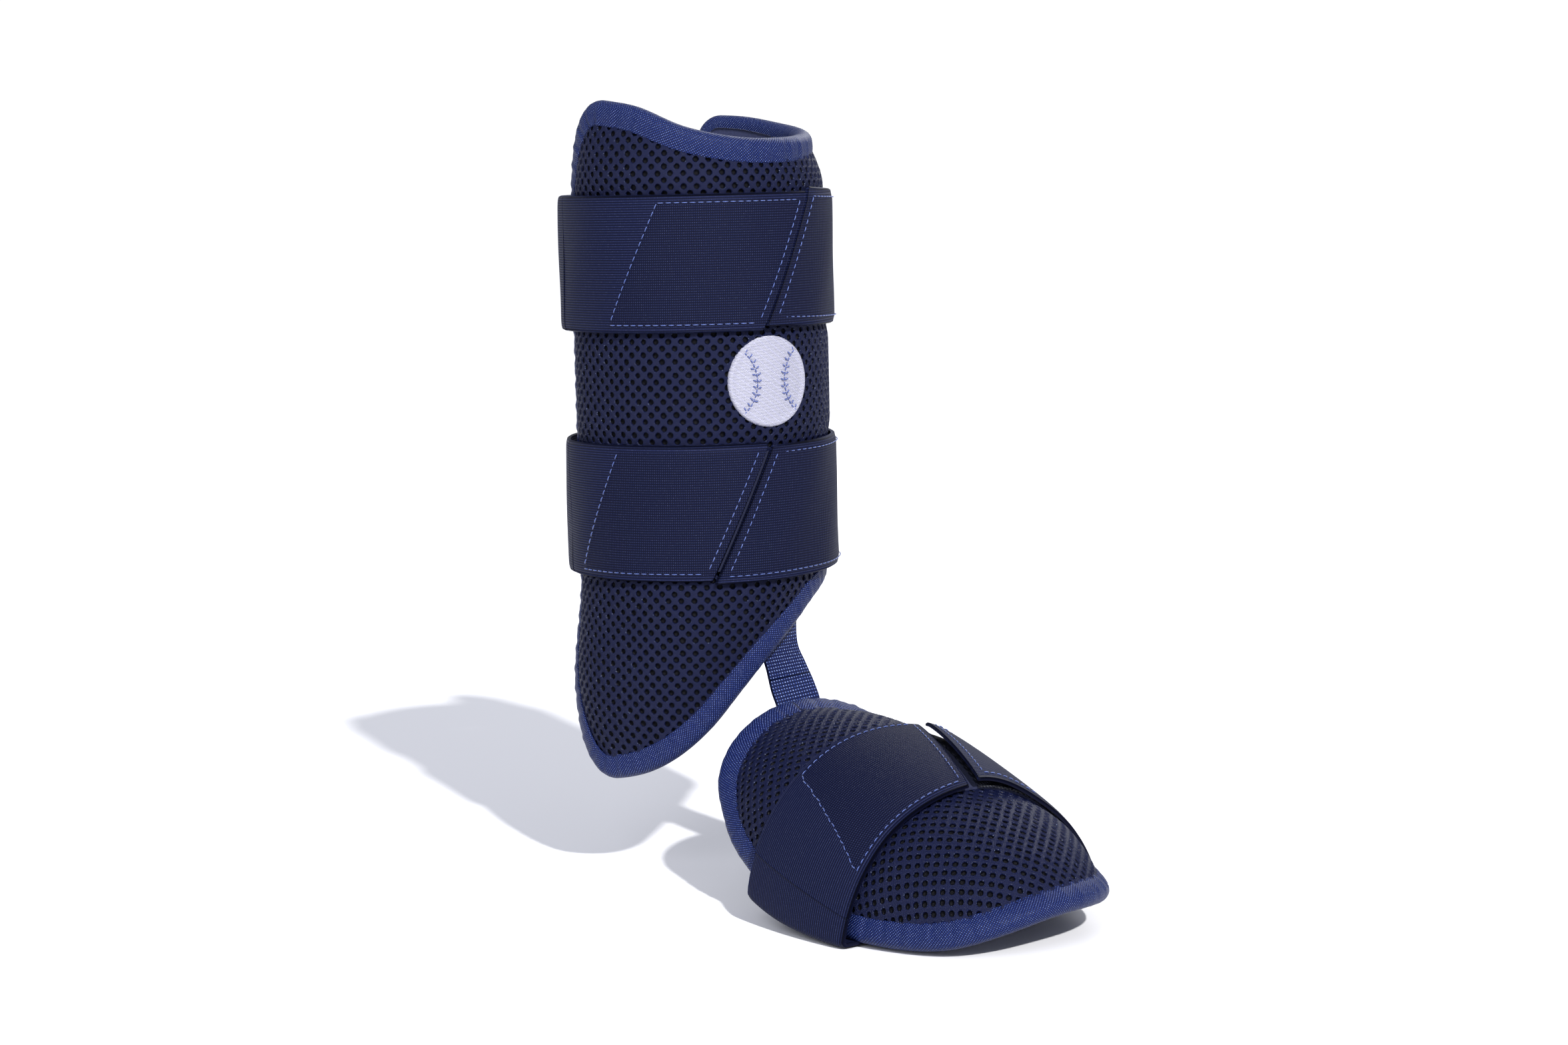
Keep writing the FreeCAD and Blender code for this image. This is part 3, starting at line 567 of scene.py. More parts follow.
def mesh_cover(name, body, cells, place):
    """Knitted cover with a sunken hole in each cell. place turns flat points and lifts
    into points in space."""
    rng = np.random.default_rng(7)
    count = len(cells)
    t = np.arange(12) / 3.0
    corners = np.array([[1, 0], [0, 1], [-1, 0], [0, -1], [1, 0]], float)
    k = t.astype(int)
    part = (t - k)[:, None]
    diamond = corners[k] * (1 - part) + corners[k + 1] * part
    diamond *= [HOLE_STEP_U, HOLE_STEP_V]
    turn = np.arctan2(diamond[:, 1], diamond[:, 0])
    edge = (cells[:, None, :] + diamond[None]).reshape(-1, 2)
    key = np.round(edge / [HOLE_STEP_U / 3, HOLE_STEP_V / 3]).astype(int)
    _, first, back = np.unique(key, axis=0, return_index=True, return_inverse=True)
    back = back.ravel()
    flat = [edge[first]]
    lift = [np.where(np.isin(first % 12, (0, 3, 6, 9)), -0.14, -0.02)]
    shade = [np.full(len(first), 0.06)]
    wobble = rng.normal(0, 0.055, (count, 1, 2))
    size = 1.0 + rng.normal(0, 0.035, (count, 1))
    circle = np.stack([np.cos(turn), np.sin(turn)], 1)[None]
    for radius, height, dark in RINGS:
        flat.append((cells[:, None] + wobble + circle * (radius * size)[..., None]).reshape(-1, 2))
        rough = rng.normal(0, 0.03, count * 12)
        lift.append(np.full(count * 12, height) + rough)
        shade.append(np.full(count * 12, dark))
    flat, lift, shade = np.concatenate(flat), np.concatenate(lift), np.concatenate(shade)
    start = len(first)
    outer = back.reshape(count, 12)
    faces = []
    for ring in range(len(RINGS)):
        inner = start + ring * count * 12 + np.arange(count * 12).reshape(count, 12)
        nxt_o, nxt_i = np.roll(outer, -1, 1), np.roll(inner, -1, 1)
        faces += np.stack([outer, nxt_o, nxt_i, inner], -1).reshape(-1, 4).tolist()
        outer = inner
    faces += outer.tolist()
    return make(name, place(flat[:, 0], flat[:, 1], lift), faces, LOOKS["mesh"], body,
                flat, shade)


def strap_cover(height, spare):
    """True where a leg strap hides the pad."""
    return (((height > UPPER[0] + spare) & (height < UPPER[1] - spare))
            | ((height > LOWER[0] + spare) & (height < LOWER[1] - spare)))


EMBLEM = box_mm("shin_emblem")
EMBLEM_HEIGHT = 0.5 * (EMBLEM[0][2] + EMBLEM[1][2])
EMBLEM_RADIUS = 0.5 * (EMBLEM[1][2] - EMBLEM[0][2])


def shin_cover():
    """Mesh over the shin pad, left out where a strap or the emblem hides it."""
    cells = lattice_cells((LEFT_EDGE * PER_DEGREE, -150), (RIGHT_EDGE * PER_DEGREE, 112))
    low, high = pad_edges(cells[:, 0] / PER_DEGREE)
    inside = (cells[:, 1] > low) & (cells[:, 1] < high)
    cells = cells[inside]
    cells = cells[rim_distance(cells[:, 0], cells[:, 1]) > 6.6]
    cells = cells[~strap_cover(cells[:, 1], 6.0)]
    away = np.hypot(cells[:, 0], cells[:, 1] - EMBLEM_HEIGHT)
    cells = cells[away > EMBLEM_RADIUS - 3.0]

    def place(u, v, lift):
        return on_leg(u, v, pad_outside(u, v) + lift)

    cover = mesh_cover("shin_mesh_cover", "shin", cells, place)
    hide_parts("shin_outer_mesh")


def pad_grid(inset, columns, rows):
    """Flat grid over the pad: distances round the leg and heights."""
    turn = 0.5 * (1.0 - np.cos(np.linspace(0.0, math.pi, columns)))
    first, last = LEFT_EDGE + inset / PER_DEGREE, RIGHT_EDGE - inset / PER_DEGREE
    angle = first + (last - first) * turn
    low, high = pad_edges(angle, inset)
    part = np.linspace(0.0, 1.0, rows)[None]
    height = low[:, None] + (high - low)[:, None] * part
    return np.broadcast_to((angle * PER_DEGREE)[:, None], height.shape), height


def shin_core():
    """The padding itself, a closed crowned form that fills the space behind the cover."""
    run, height = pad_grid(3.0, 120, 110)
    outside = on_leg(run, height, pad_outside(run, height) - 1.25)
    inside = on_leg(run, height, pad_inside(run, height) + 1.3)
    cloth = np.stack([run, height], -1)
    core = thick_sheet("shin_padding", outside, inside, LOOKS["backing"], "shin", cloth)
    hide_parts("shin_foam")
    run, height = pad_grid(5.0, 120, 110)
    base = pad_inside(run, height)
    quilt = 0.35 * np.sin(run / 2.1) * np.sin(height / 2.1)
    cover = thick_sheet("shin_lining_cloth", on_leg(run, height, base + 0.9),
                        on_leg(run, height, base + 0.12 * quilt), LOOKS["lining"], "shin",
                        np.stack([run, height], -1))
    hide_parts("shin_lining")


# ---------------------------------------------------------------- edge tape

TAPE_HALF = 3.8


def tape_section():
    """Depth from the rim and lift from the outer face, round the folded tape."""
    rows = [(9.3, -0.9), (9.35, -0.35), (9.1, -0.05), (8.6, 0.05), (8.1, -0.12), (7.6, 0.02),
            (6.6, 0.12), (5.6, 0.14), (4.6, 0.08)]
    for turn in np.linspace(0, math.pi, 13):
        rows.append((TAPE_HALF * (1.0 - math.sin(turn)), -TAPE_HALF * (1.0 - math.cos(turn))))
    inner = -2.0 * TAPE_HALF
    rows += [(4.6, inner), (6.0, inner), (7.4, inner), (8.6, inner), (9.2, inner + 0.25),
             (9.3, inner + 0.9)]
    return np.array(rows)


def tape_piece(name, body, node, place, walk, closed):
    """Folded tape along a rim; place gives points for one depth and lift all along it."""
    section = tape_section()
    step = np.r_[0, np.cumsum(np.linalg.norm(np.diff(section, axis=0), axis=1))]
    bend = 0.16 * np.sin(walk * 2 * math.pi / 7.3) + 0.12 * np.sin(walk * 2 * math.pi / 4.1 + 1)
    rows = []
    for depth, lift in section:
        loose = bend * (1.0 if -0.5 < lift else 0.4)
        rows.append(place(depth, lift + loose))
    grid = np.stack(rows, 1)
    cloth = np.stack(np.broadcast_arrays(walk[:, None], step[None]), -1)
    faces = grid_faces(len(walk), len(section), wrap_rows=closed)
    obj = make(name, grid.reshape(-1, 3), faces, LOOKS["tape"], body, cloth.reshape(-1, 2))
    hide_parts(node)
    return obj


def shin_tape():
    path, walk = rim_path(1.0)
    path, walk = path[:-1], walk[:-1]
    ahead = np.roll(path, -3, 0) - np.roll(path, 3, 0)
    ahead /= np.linalg.norm(ahead, axis=1)[:, None]
    inward = np.stack([-ahead[:, 1], ahead[:, 0]], 1)
    lean = flare(path[:, 0] / PER_DEGREE, path[:, 1])
    outer = TAPE_OUTSIDE + lean

    def place(depth, lift):
        run = path[:, 0] + inward[:, 0] * depth
        height = path[:, 1] + inward[:, 1] * depth
        return on_leg(run, height, outer + lift)

    tape_piece("shin_edge_tape", "shin", "shin_edge_binding", place, walk, True)


# ---------------------------------------------------------------- straps round the leg


def cloth_grid(along, across, radius):
    return on_leg(along * MESH_RADIUS / BAND_RADIUS, across, radius)


def seam_at(seam, height, middle):
    """Distance round the strap where a slanted line lies at a height."""
    return math.radians(seam) * BAND_RADIUS + SEAM_LEAN * (height - middle)


def strap_sway(along, height):
    """Slight waves in the elastic."""
    return 0.22 * np.sin(along / 9.0 + height / 21.0) + 0.15 * np.sin(along / 4.7 - height / 8.0)


def strap_piece(name, start, end, span, drift=0.0, rise=0.0, patch=None, step=0.9):
    """A length of elastic between two lines that may slant, given as distances round the
    strap at each height. patch is the line where the hook patch behind it begins."""
    low, high = span
    rows = 46
    across = np.linspace(low, high, rows)
    first, last = start(across), end(across)
    count = int(np.mean(np.abs(last - first)) / step) + 2
    part = np.linspace(0, 1, count)[:, None]
    along = first + (last - first) * part
    height = np.broadcast_to(across, along.shape) + rise * part ** 2
    edge = np.minimum(height - low, high - height)
    curl = -0.45 * np.exp(-np.maximum(edge, 0) / 1.1)
    sway = strap_sway(along, height)
    shade = np.zeros(along.shape)
    if patch is not None:
        inside = smooth(-0.6, 0.6, (along - patch(height)) * np.sign(np.mean(last - first)))
        shade = inside * smooth(1.6, 2.6, edge)
    lift = curl + sway + drift * part ** 3 + 0.22 * shade
    outer = cloth_grid(along, height, BAND_RADIUS - 0.1 + lift)
    inner = cloth_grid(along, height, BAND_RADIUS - 0.1 - ELASTIC + lift)
    cloth = np.stack([along, height], -1)
    obj = thick_sheet(name, outer, inner, LOOKS["elastic"], None, cloth)
    set_shade(obj, shade)
    return obj


def dashes(name, lines, material, pitch=3.0, length=2.1, width=0.2):
    """Sewing stitches: short rounded threads along lines of (point, outward) samples."""
    ring = np.array([(math.cos(a), math.sin(a)) for a in np.arange(6) * math.pi / 3])
    verts, faces = [], []
    for points, outward in lines:
        run = np.r_[0, np.cumsum(np.linalg.norm(np.diff(points, axis=0), axis=1))]
        for start in np.arange(0.4, run[-1] - length, pitch):
            stops = start + length * np.array([0.0, 0.12, 0.5, 0.88, 1.0])
            thick = width * np.array([0.35, 0.85, 1.0, 0.85, 0.35])
            sink = np.array([-0.22, 0.0, 0.10, 0.0, -0.22])
            centre = np.stack([np.interp(stops, run, points[:, k]) for k in range(3)], 1)
            out = np.stack([np.interp(stops, run, outward[:, k]) for k in range(3)], 1)
            side = np.cross(centre[-1] - centre[0], out)
            side /= np.linalg.norm(side, axis=1)[:, None]
            centre = centre + out * (sink + width * 0.6)[:, None]
            base = len(verts)
            for c, o, s, r in zip(centre, out, side, thick):
                verts += [c + (s * x + o * y) * r for x, y in ring]
            for i in range(4):
                for j in range(6):
                    a, b = base + i * 6 + j, base + i * 6 + (j + 1) % 6
                    faces.append([a, b, b + 6, a + 6])
            faces.append([base + j for j in range(5, -1, -1)])
            faces.append([base + 24 + j for j in range(6)])
    return make(name, np.array(verts), faces, material)


def sew(name, lines, body):
    """Stitches on a strap end, in its thread, moving with it."""
    stitches = dashes(name, lines, LOOKS["stitch"])
    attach(stitches, body)


def strap_line(start, end, lift=0.0):
    """Stitch line on a leg strap between two (distance round the strap, height) points."""
    part = np.linspace(0, 1, 60)[:, None]
    flat = np.array(start)[None] * (1 - part) + np.array(end)[None] * part
    turn = flat[:, 0] / BAND_RADIUS
    outward = np.stack([np.sin(turn), -np.cos(turn), np.zeros(60)], 1)
    radius = BAND_RADIUS + 0.05 + strap_sway(flat[:, 0], flat[:, 1]) + lift
    points = outward * radius[:, None]
    points[:, 2] = flat[:, 1]
    return points, outward


STRAPS = {
    "upper": {"span": UPPER, "seam": 9.2, "patch": -58.8, "boxed": True, "rise": 1.6},
    "lower": {"span": LOWER, "seam": -15.0, "patch": -80.0, "boxed": False, "rise": -1.2},
}


def leg_strap(name, facts):
    """One strap round the leg: the band behind, two ends with patches, and their stitches."""
    low, high = facts["span"]
    middle = 0.5 * (low + high)
    gap = 0.7
    left_from = math.radians(LEFT_HINGE - HINGE_OVERLAP) * BAND_RADIUS
    right_from = math.radians(RIGHT_HINGE + HINGE_OVERLAP) * BAND_RADIUS
    full = 2 * math.pi * BAND_RADIUS

    def level(value):
        return lambda height: np.full(np.shape(height), value)

    def seam(offset):
        return lambda height: seam_at(facts["seam"], height, middle) + offset

    def patch(height):
        return seam_at(facts["patch"], height, middle)

    band = strap_piece(name + "_elastic_band", level(right_from),
                       level(full + left_from), (low, high))
    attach(band, "shin")
    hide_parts(name + "_strap_band")

    left = strap_piece(name + "_elastic_left", level(left_from), seam(-gap), (low, high),
                       drift=0.25, patch=patch)
    far = math.radians(RIGHT_PATCH) * BAND_RADIUS
    rise = facts["rise"]
    right = strap_piece(name + "_elastic_right", level(right_from), seam(gap), (low, high),
                        drift=0.9, rise=rise, patch=level(far))
    for obj, side, hinge, sign in ((left, "left", LEFT_HINGE, 1),
                                   (right, "right", RIGHT_HINGE, -1)):
        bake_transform(obj)
        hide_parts("%s_strap_%s_end" % (name, side))

    top, foot = high - 2.6, low + 2.6
    inset = 3.2

    def at(line, height, offset=0.0):
        return float(line(np.array(height))) + offset, height

    lines = [strap_line(at(patch, top), at(patch, foot), 0.2),
             strap_line(at(patch, foot), at(seam(-inset - gap), foot), 0.25)]
    if facts["boxed"]:
        lines.append(strap_line(at(patch, top), at(seam(-inset - gap), top), 0.25))
    lines.append(strap_line(at(seam(-inset - gap), top), at(seam(-inset - gap), foot), 0.3))
    sew(name + "_left_stitches", lines, name + "_left_end")

    lines = [strap_line(at(seam(inset + gap), top, 0.0), at(seam(inset + gap), foot), 0.75),
             strap_line(at(seam(inset + gap), foot), (far, foot), 0.4),
             strap_line(at(seam(inset + gap), top), (far, top), 0.4),
             strap_line((far, top), (far, foot), 0.2)]
    for points, _ in lines:
        part = np.clip((right_from - np.arctan2(points[:, 0], -points[:, 1]) * BAND_RADIUS)
                       / (right_from - math.radians(facts["seam"]) * BAND_RADIUS), 0, 1)
        points[:, 2] += rise * part ** 2
    sew(name + "_right_stitches", lines, name + "_right_end")


# ---------------------------------------------------------------- emblem


def emblem():
    """White embroidered ball with two curved rows of stitches."""
    rings, spokes = 34, 128
    part = np.linspace(0, 1, rings)[:, None]
    turn = np.linspace(0, 2 * math.pi, spokes, endpoint=False)[None]
    x = EMBLEM_RADIUS * part * np.cos(turn)
    z = EMBLEM_RADIUS * part * np.sin(turn)
    away = EMBLEM_RADIUS * (1 - part)
    border = 0.55 * np.exp(-((away - 1.3) / 1.0) ** 2)
    ridge = 0.07 * np.sin(turn * 64) * smooth(3.0, 1.5, away)
    fill = 0.10 * np.sin(z * 2 * math.pi / 1.4 + 0.4 * np.sin(x / 2.5)) * smooth(2.4, 3.4, away)
    lift = 0.75 + border + ridge + fill - 0.9 * smooth(0.35, 0.0, away)
    height = z + EMBLEM_HEIGHT
    top = on_leg(x, height, pad_outside(x, height) + lift)
    bottom = on_leg(x[-1], height[-1], pad_outside(x[-1], height[-1]) - 0.5)
    verts = np.concatenate([top.reshape(-1, 3), bottom])
    cloth = np.stack([x, z], -1).reshape(-1, 2)
    cloth = np.concatenate([cloth, cloth[-spokes:]])
    faces = grid_faces(rings, spokes, wrap_cols=True)
    rim, base = (rings - 1) * spokes, rings * spokes
    for j in range(spokes):
        k = (j + 1) % spokes
        faces.append([rim + j, base + j, base + k, rim + k])
    faces.append([base + j for j in range(spokes)][::-1])
    patch = make("emblem_patch", verts, faces, LOOKS["embroidery"], "shin", cloth)
    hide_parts("shin_emblem")
    lines = []

    def add_line(sx, sz, lift):
        """Stitch line through points of the patch, at a lift above the pad."""
        height = sz + EMBLEM_HEIGHT
        turn = sx / MESH_RADIUS
        outward = np.stack([np.sin(turn), -np.cos(turn), np.zeros(len(sx))], 1)
        lines.append((on_leg(sx, height, pad_outside(sx, height) + lift), outward))

    for side in (-1, 1):
        centre, radius = side * EMBLEM_RADIUS * 1.12, EMBLEM_RADIUS * 0.78
        for a in np.linspace(-0.86, 0.86, 11):
            px = centre - side * radius * math.cos(a)
            pz = radius * math.sin(a) * 1.08
            for tip in (-1, 1):
                p = np.linspace(0, 1, 6)
                add_line(px + p * side * (2.1 * tip * math.cos(a) - 0.11),
                         pz + p * (1.0 - 2.1 * tip * math.sin(a)), 0.95)
        a = np.linspace(-0.98, 0.98, 60)
        add_line(centre - side * radius * np.cos(a), radius * np.sin(a) * 1.08, 0.85)
    thread = dashes("emblem_stitches", lines, LOOKS["seam_thread"], pitch=1.9, length=1.5,
                    width=0.26)
    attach(thread, "shin")


# ---------------------------------------------------------------- foot guard


def turned(axis, angle):
    """Rotation matrix about one axis: 0 is X, 1 is Y and 2 is Z."""
    matrix = np.eye(3)
    i, j = (axis + 1) % 3, (axis + 2) % 3
    matrix[i, i] = matrix[j, j] = math.cos(angle)
    matrix[j, i], matrix[i, j] = math.sin(angle), -math.sin(angle)
    return matrix


FOOT_TURN = turned(2, FOOT_YAW) @ turned(0, FOOT_PITCH) @ turned(1, -FOOT_ROLL)
# Distance over the cap's middle line, at each angle from its top.
ARC_TURNS = np.linspace(-1.25, 1.35, 1000)
ARC_RUN = np.r_[0, np.cumsum(np.hypot(FOOT_LONG * np.cos(ARC_TURNS[1:]),
                                      FOOT_RISE * np.sin(ARC_TURNS[1:]))
                             * np.diff(ARC_TURNS))]
ARC_RUN -= np.interp(0.0, ARC_TURNS, ARC_RUN)


def foot_world(local):
    return local @ FOOT_TURN.T + FOOT_CENTRE


def foot_local(points):
    return (points - FOOT_CENTRE) @ FOOT_TURN


def cap_local(along, across, lift):
    """Point of the foot guard's cap for distances over it, in the guard's own axes."""
    turn = np.interp(along, ARC_RUN, ARC_TURNS)
    side = across / (FOOT_WIDE * np.cos(turn))
    base = np.stack([FOOT_WIDE * np.cos(turn) * np.sin(side), -FOOT_LONG * np.sin(turn),
                     FOOT_RISE * np.cos(turn) * np.cos(side)], -1)
    normal = base / [FOOT_WIDE ** 2, FOOT_LONG ** 2, FOOT_RISE ** 2]
    normal /= np.linalg.norm(normal, axis=-1, keepdims=True)
    return base + normal * np.asarray(lift)[..., None]


def foot_rim(step):
    """Closed path of the foot guard's rim in its own axes, from the ankle round to the left."""
    def inside(u):
        return 1 - (u / FOOT_LONG) ** 2 - (ease(FOOT_RIM, u) / FOOT_RISE) ** 2

    fine = np.linspace(FOOT_RIM[0][0] + 0.1, FOOT_RIM[-1][0] - 0.1, 6000)
    fine = fine[inside(fine) > 0]
    first, last = fine[0], fine[-1]
    u = first + (last - first) * 0.5 * (1 - np.cos(np.linspace(0, math.pi, 500)))
    v = FOOT_WIDE * np.sqrt(np.maximum(inside(u), 0))
    v[0] = v[-1] = 0.0
    h = ease(FOOT_RIM, u)
    left = np.stack([-v, -u, h], 1)
    right = np.stack([v, -u, h], 1)[::-1]
    return even_steps(np.concatenate([left, right[1:]]), step)


FOOT_EDGE, _ = foot_rim(1.5)


def foot_rim_distance(local):
    flat = local.reshape(-1, 3)
    best = np.full(len(flat), 1e9)
    for part in np.array_split(FOOT_EDGE, 8):
        best = np.minimum(best, np.linalg.norm(flat[:, None] - part[None], axis=2).min(1))
    return best.reshape(local.shape[:-1])


def above_rim(local):
    return local[..., 2] - ease(FOOT_RIM, np.clip(-local[..., 1], FOOT_RIM[0][0] + 0.1,
                                                    FOOT_RIM[-1][0] - 0.1))


def under_foot_strap(local, spare):
    world = foot_world(local)
    return (world[..., 1] < FOOT_STRAP[0] - spare) & (world[..., 1] > FOOT_STRAP[1] + spare)


def rim_flare(local, away):
    """The rim curls outwards round the ankle, so its tape shows from the front."""
    u = -local[..., 1]
    return (0.8 + 4.2 * smooth(-52.0, -76.0, u)) * smooth(-20.0, -52.0, u) * np.exp(
        -(np.maximum(away, 0.0) / 9.0) ** 2)


def cap_lift(local):
    """Crown of the padding over the cap: pinched at the rim, held down by the strap."""
    away = foot_rim_distance(local)
    world = foot_world(local)
    held = smooth(FOOT_STRAP[0] + 8, FOOT_STRAP[0] - 4, world[..., 1]) * smooth(
        FOOT_STRAP[1] - 8, FOOT_STRAP[1] + 4, world[..., 1])
    crown = 2.5 * (1.0 - np.exp(-(np.maximum(away - 6.5, 0.0) / 6.5) ** 1.3))
    return (-2.2 + crown + 0.9 * (1 - held) * smooth(10, 24, away) - 0.25 * held
            + rim_flare(local, away))


def foot_cover():
    """Mesh over the foot guard, left out under its strap."""
    cells = lattice_cells((-95, -100), (110, 100))
    flat = cap_local(cells[:, 0], cells[:, 1], np.zeros(len(cells)))
    wide = np.abs(cells[:, 1]) < FOOT_WIDE * 1.45 * np.cos(
        np.interp(cells[:, 0], ARC_RUN, ARC_TURNS))
    keep = wide & (above_rim(flat) > 0) & (foot_rim_distance(flat) > 6.6)
    keep &= ~under_foot_strap(flat, 6.0)
    cells = cells[keep]

    def place(u, v, lift):
        base = cap_local(u, v, np.zeros(len(u)))
        return foot_world(cap_local(u, v, cap_lift(base) + lift))

    cover = mesh_cover("foot_mesh_cover", "foot", cells, place)
    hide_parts("foot_outer_mesh")


def cap_grid(inset, columns, rows):
    """Grid over the cap inside its rim: rays from the middle of the cap out to the rim."""
    edge, _ = foot_rim(1.0)
    edge = edge[np.linspace(0, len(edge) - 1, columns).astype(int)]
    turn = np.arcsin(np.clip(-edge[:, 1] / FOOT_LONG, -1, 1))
    side = np.arctan2(edge[:, 0] / FOOT_WIDE, edge[:, 2] / FOOT_RISE)
    along = np.interp(turn, ARC_TURNS, ARC_RUN)
    across = side * FOOT_WIDE * np.cos(turn)
    centre = np.array([6.0, 0.0])
    ray = np.stack([along, across], 1) - centre
    length = np.linalg.norm(ray, axis=1)
    ray *= ((length - inset) / length)[:, None]
    part = np.sin(np.linspace(0.04, 1.0, rows) * math.pi / 2)[None, :, None]
    return centre + ray[:, None, :] * part


def foot_pad(name, node, inset, top, bottom, look):
    """Closed pad over the cap. top gives the lift of its upper face, bottom that of its lower."""
    flat = cap_grid(inset, 160, 40)[:-1]
    u, v = flat[..., 0], flat[..., 1]
    base = cap_local(u, v, np.zeros(u.shape))
    outer = foot_world(cap_local(u, v, top(base)))
    inner = foot_world(cap_local(u, v, np.full(u.shape, bottom)))
    count, rows = u.shape
    half = count * rows
    faces = grid_faces(count, rows, wrap_rows=True)
    faces += [f[::-1] for f in grid_faces(count, rows, wrap_rows=True, start=half)]
    for i in range(count):
        a, b = i * rows + rows - 1, (i + 1) % count * rows + rows - 1
        faces.append([half + a, half + b, b, a])
    faces.append([i * rows for i in range(count)][::-1])
    faces.append([half + i * rows for i in range(count)])
    verts = np.concatenate([outer.reshape(-1, 3), inner.reshape(-1, 3)])
    cloth = np.concatenate([flat.reshape(-1, 2)] * 2)
    obj = make(name, verts, faces, LOOKS[look], "foot", cloth)
    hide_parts(node)


def foot_core():
    """The foot guard's padding, and the lining below it."""
    foot_pad("foot_padding", "foot_foam", 3.0, lambda base: cap_lift(base) - 1.3,
             2.6 - FOOT_THICK, "backing")
    foot_pad("foot_lining_cloth", "foot_lining", 5.0,
             lambda base: np.full(base.shape[:-1], 2.4 - FOOT_THICK),
             1.6 - FOOT_THICK, "lining")


def foot_tape():
    path, walk = foot_rim(1.0)
    path, walk = path[:-1], walk[:-1]
    ahead = np.roll(path, -3, 0) - np.roll(path, 3, 0)
    ahead /= np.linalg.norm(ahead, axis=1)[:, None]
    normal = path / [FOOT_WIDE ** 2, FOOT_LONG ** 2, FOOT_RISE ** 2]
    normal /= np.linalg.norm(normal, axis=1)[:, None]
    inward = np.cross(normal, ahead)
    inward *= np.sign((inward * (np.array([0, -6.0, 60.0]) - path)).sum(1))[:, None]

    def place(depth, lift):
        sag = depth * depth / (2.0 * 58.0)
        lift = np.asarray(lift) + rim_flare(path, np.full(len(path), depth)) - 1.3 - sag
        return foot_world(path + inward * depth + normal * lift[..., None])

    tape_piece("foot_edge_tape", "foot", "foot_edge_binding", place, walk, True)


# ---------------------------------------------------------------- strap round the foot


def foot_section(y, lift):
    """Closed line round the foot guard in the upright plane at y: over the cap, and back
    under the sole. Starts below the left side and goes over the top."""
    long, wide, rise = FOOT_LONG + lift, FOOT_WIDE + lift, FOOT_RISE + lift

    def over(turn):
        u = np.zeros(len(turn))
        for _ in range(40):
            slim = np.sqrt(np.maximum(0.05, 1 - (u / long) ** 2))
            local = np.stack([wide * slim * np.sin(turn), -u, rise * slim * np.cos(turn)], 1)
            u = u + (foot_world(local)[:, 1] - y) / math.cos(FOOT_PITCH)
        return foot_world(local)

    centre = foot_local(np.array([FOOT_CENTRE[0], y, FOOT_CENTRE[2]]))
    bottom = (float(ease(FOOT_RIM, -centre[1])) - SOLE_CLEARANCE
              - (lift - FOOT_ELASTIC_BASE))
    down = math.acos((bottom + 3.0) / rise)
    arch = over(np.linspace(-down, down, 90))
    ends = []
    for point in (arch[0], arch[-1]):
        local = foot_local(point)
        corner = foot_world(np.array([local[0], local[1], bottom]))
        ends.append(np.array([corner[0], y, corner[2]]))
    left, right = ends
    across = (right - left) / np.linalg.norm(right - left)
    up = (arch[0] - left) / np.linalg.norm(arch[0] - left)
    bend = 2.2
    turn = np.linspace(0, math.pi / 2, 6)[:, None]
    left_corner = left + bend * (across * (1 - np.cos(turn)) + up * (1 - np.sin(turn)))
    right_corner = right + bend * (-across * (1 - np.sin(turn)) + up * (1 - np.cos(turn)))
    sole = np.linspace(0, 1, 30)[1:-1, None]
    share = np.clip((y - FOOT_STRAP[1]) / (FOOT_STRAP[0] - FOOT_STRAP[1]), 0, 1)
    sag = (SOLE_SAG[1] + (SOLE_SAG[0] - SOLE_SAG[1]) * share) * 4 * sole * (1 - sole)
    sole = (right - across * bend + (left - right + 2 * across * bend) * sole
            - np.array([0, 0, 1.0]) * sag)
    return np.concatenate([left_corner[::-1], arch[1:-1], right_corner[::-1], sole])


LINE_STEP = 0.5


def foot_strap_grid(lift, rows):
    """Sections across the strap's width, each walked at even steps from its left fold."""
    sections = []
    for y in np.linspace(FOOT_STRAP[0] + 0.2, FOOT_STRAP[1] - 0.2, rows):
        loop = foot_section(y, lift)
        closed = np.concatenate([loop, loop[:1]])
        line, _ = even_steps(closed, LINE_STEP)
        sections.append((line, y))
    return sections


FOOT_ROWS = 40
FOOT_LINES = foot_strap_grid(FOOT_ELASTIC_BASE + ELASTIC + 0.1, FOOT_ROWS)


def cross_at(values):
    """First place in a row of values, counted from its start, where they turn positive."""
    i = int(np.argmax(values > 0))
    if i == 0:
        return 0.0
    return i - 1 + (-values[i - 1]) / (values[i] - values[i - 1])


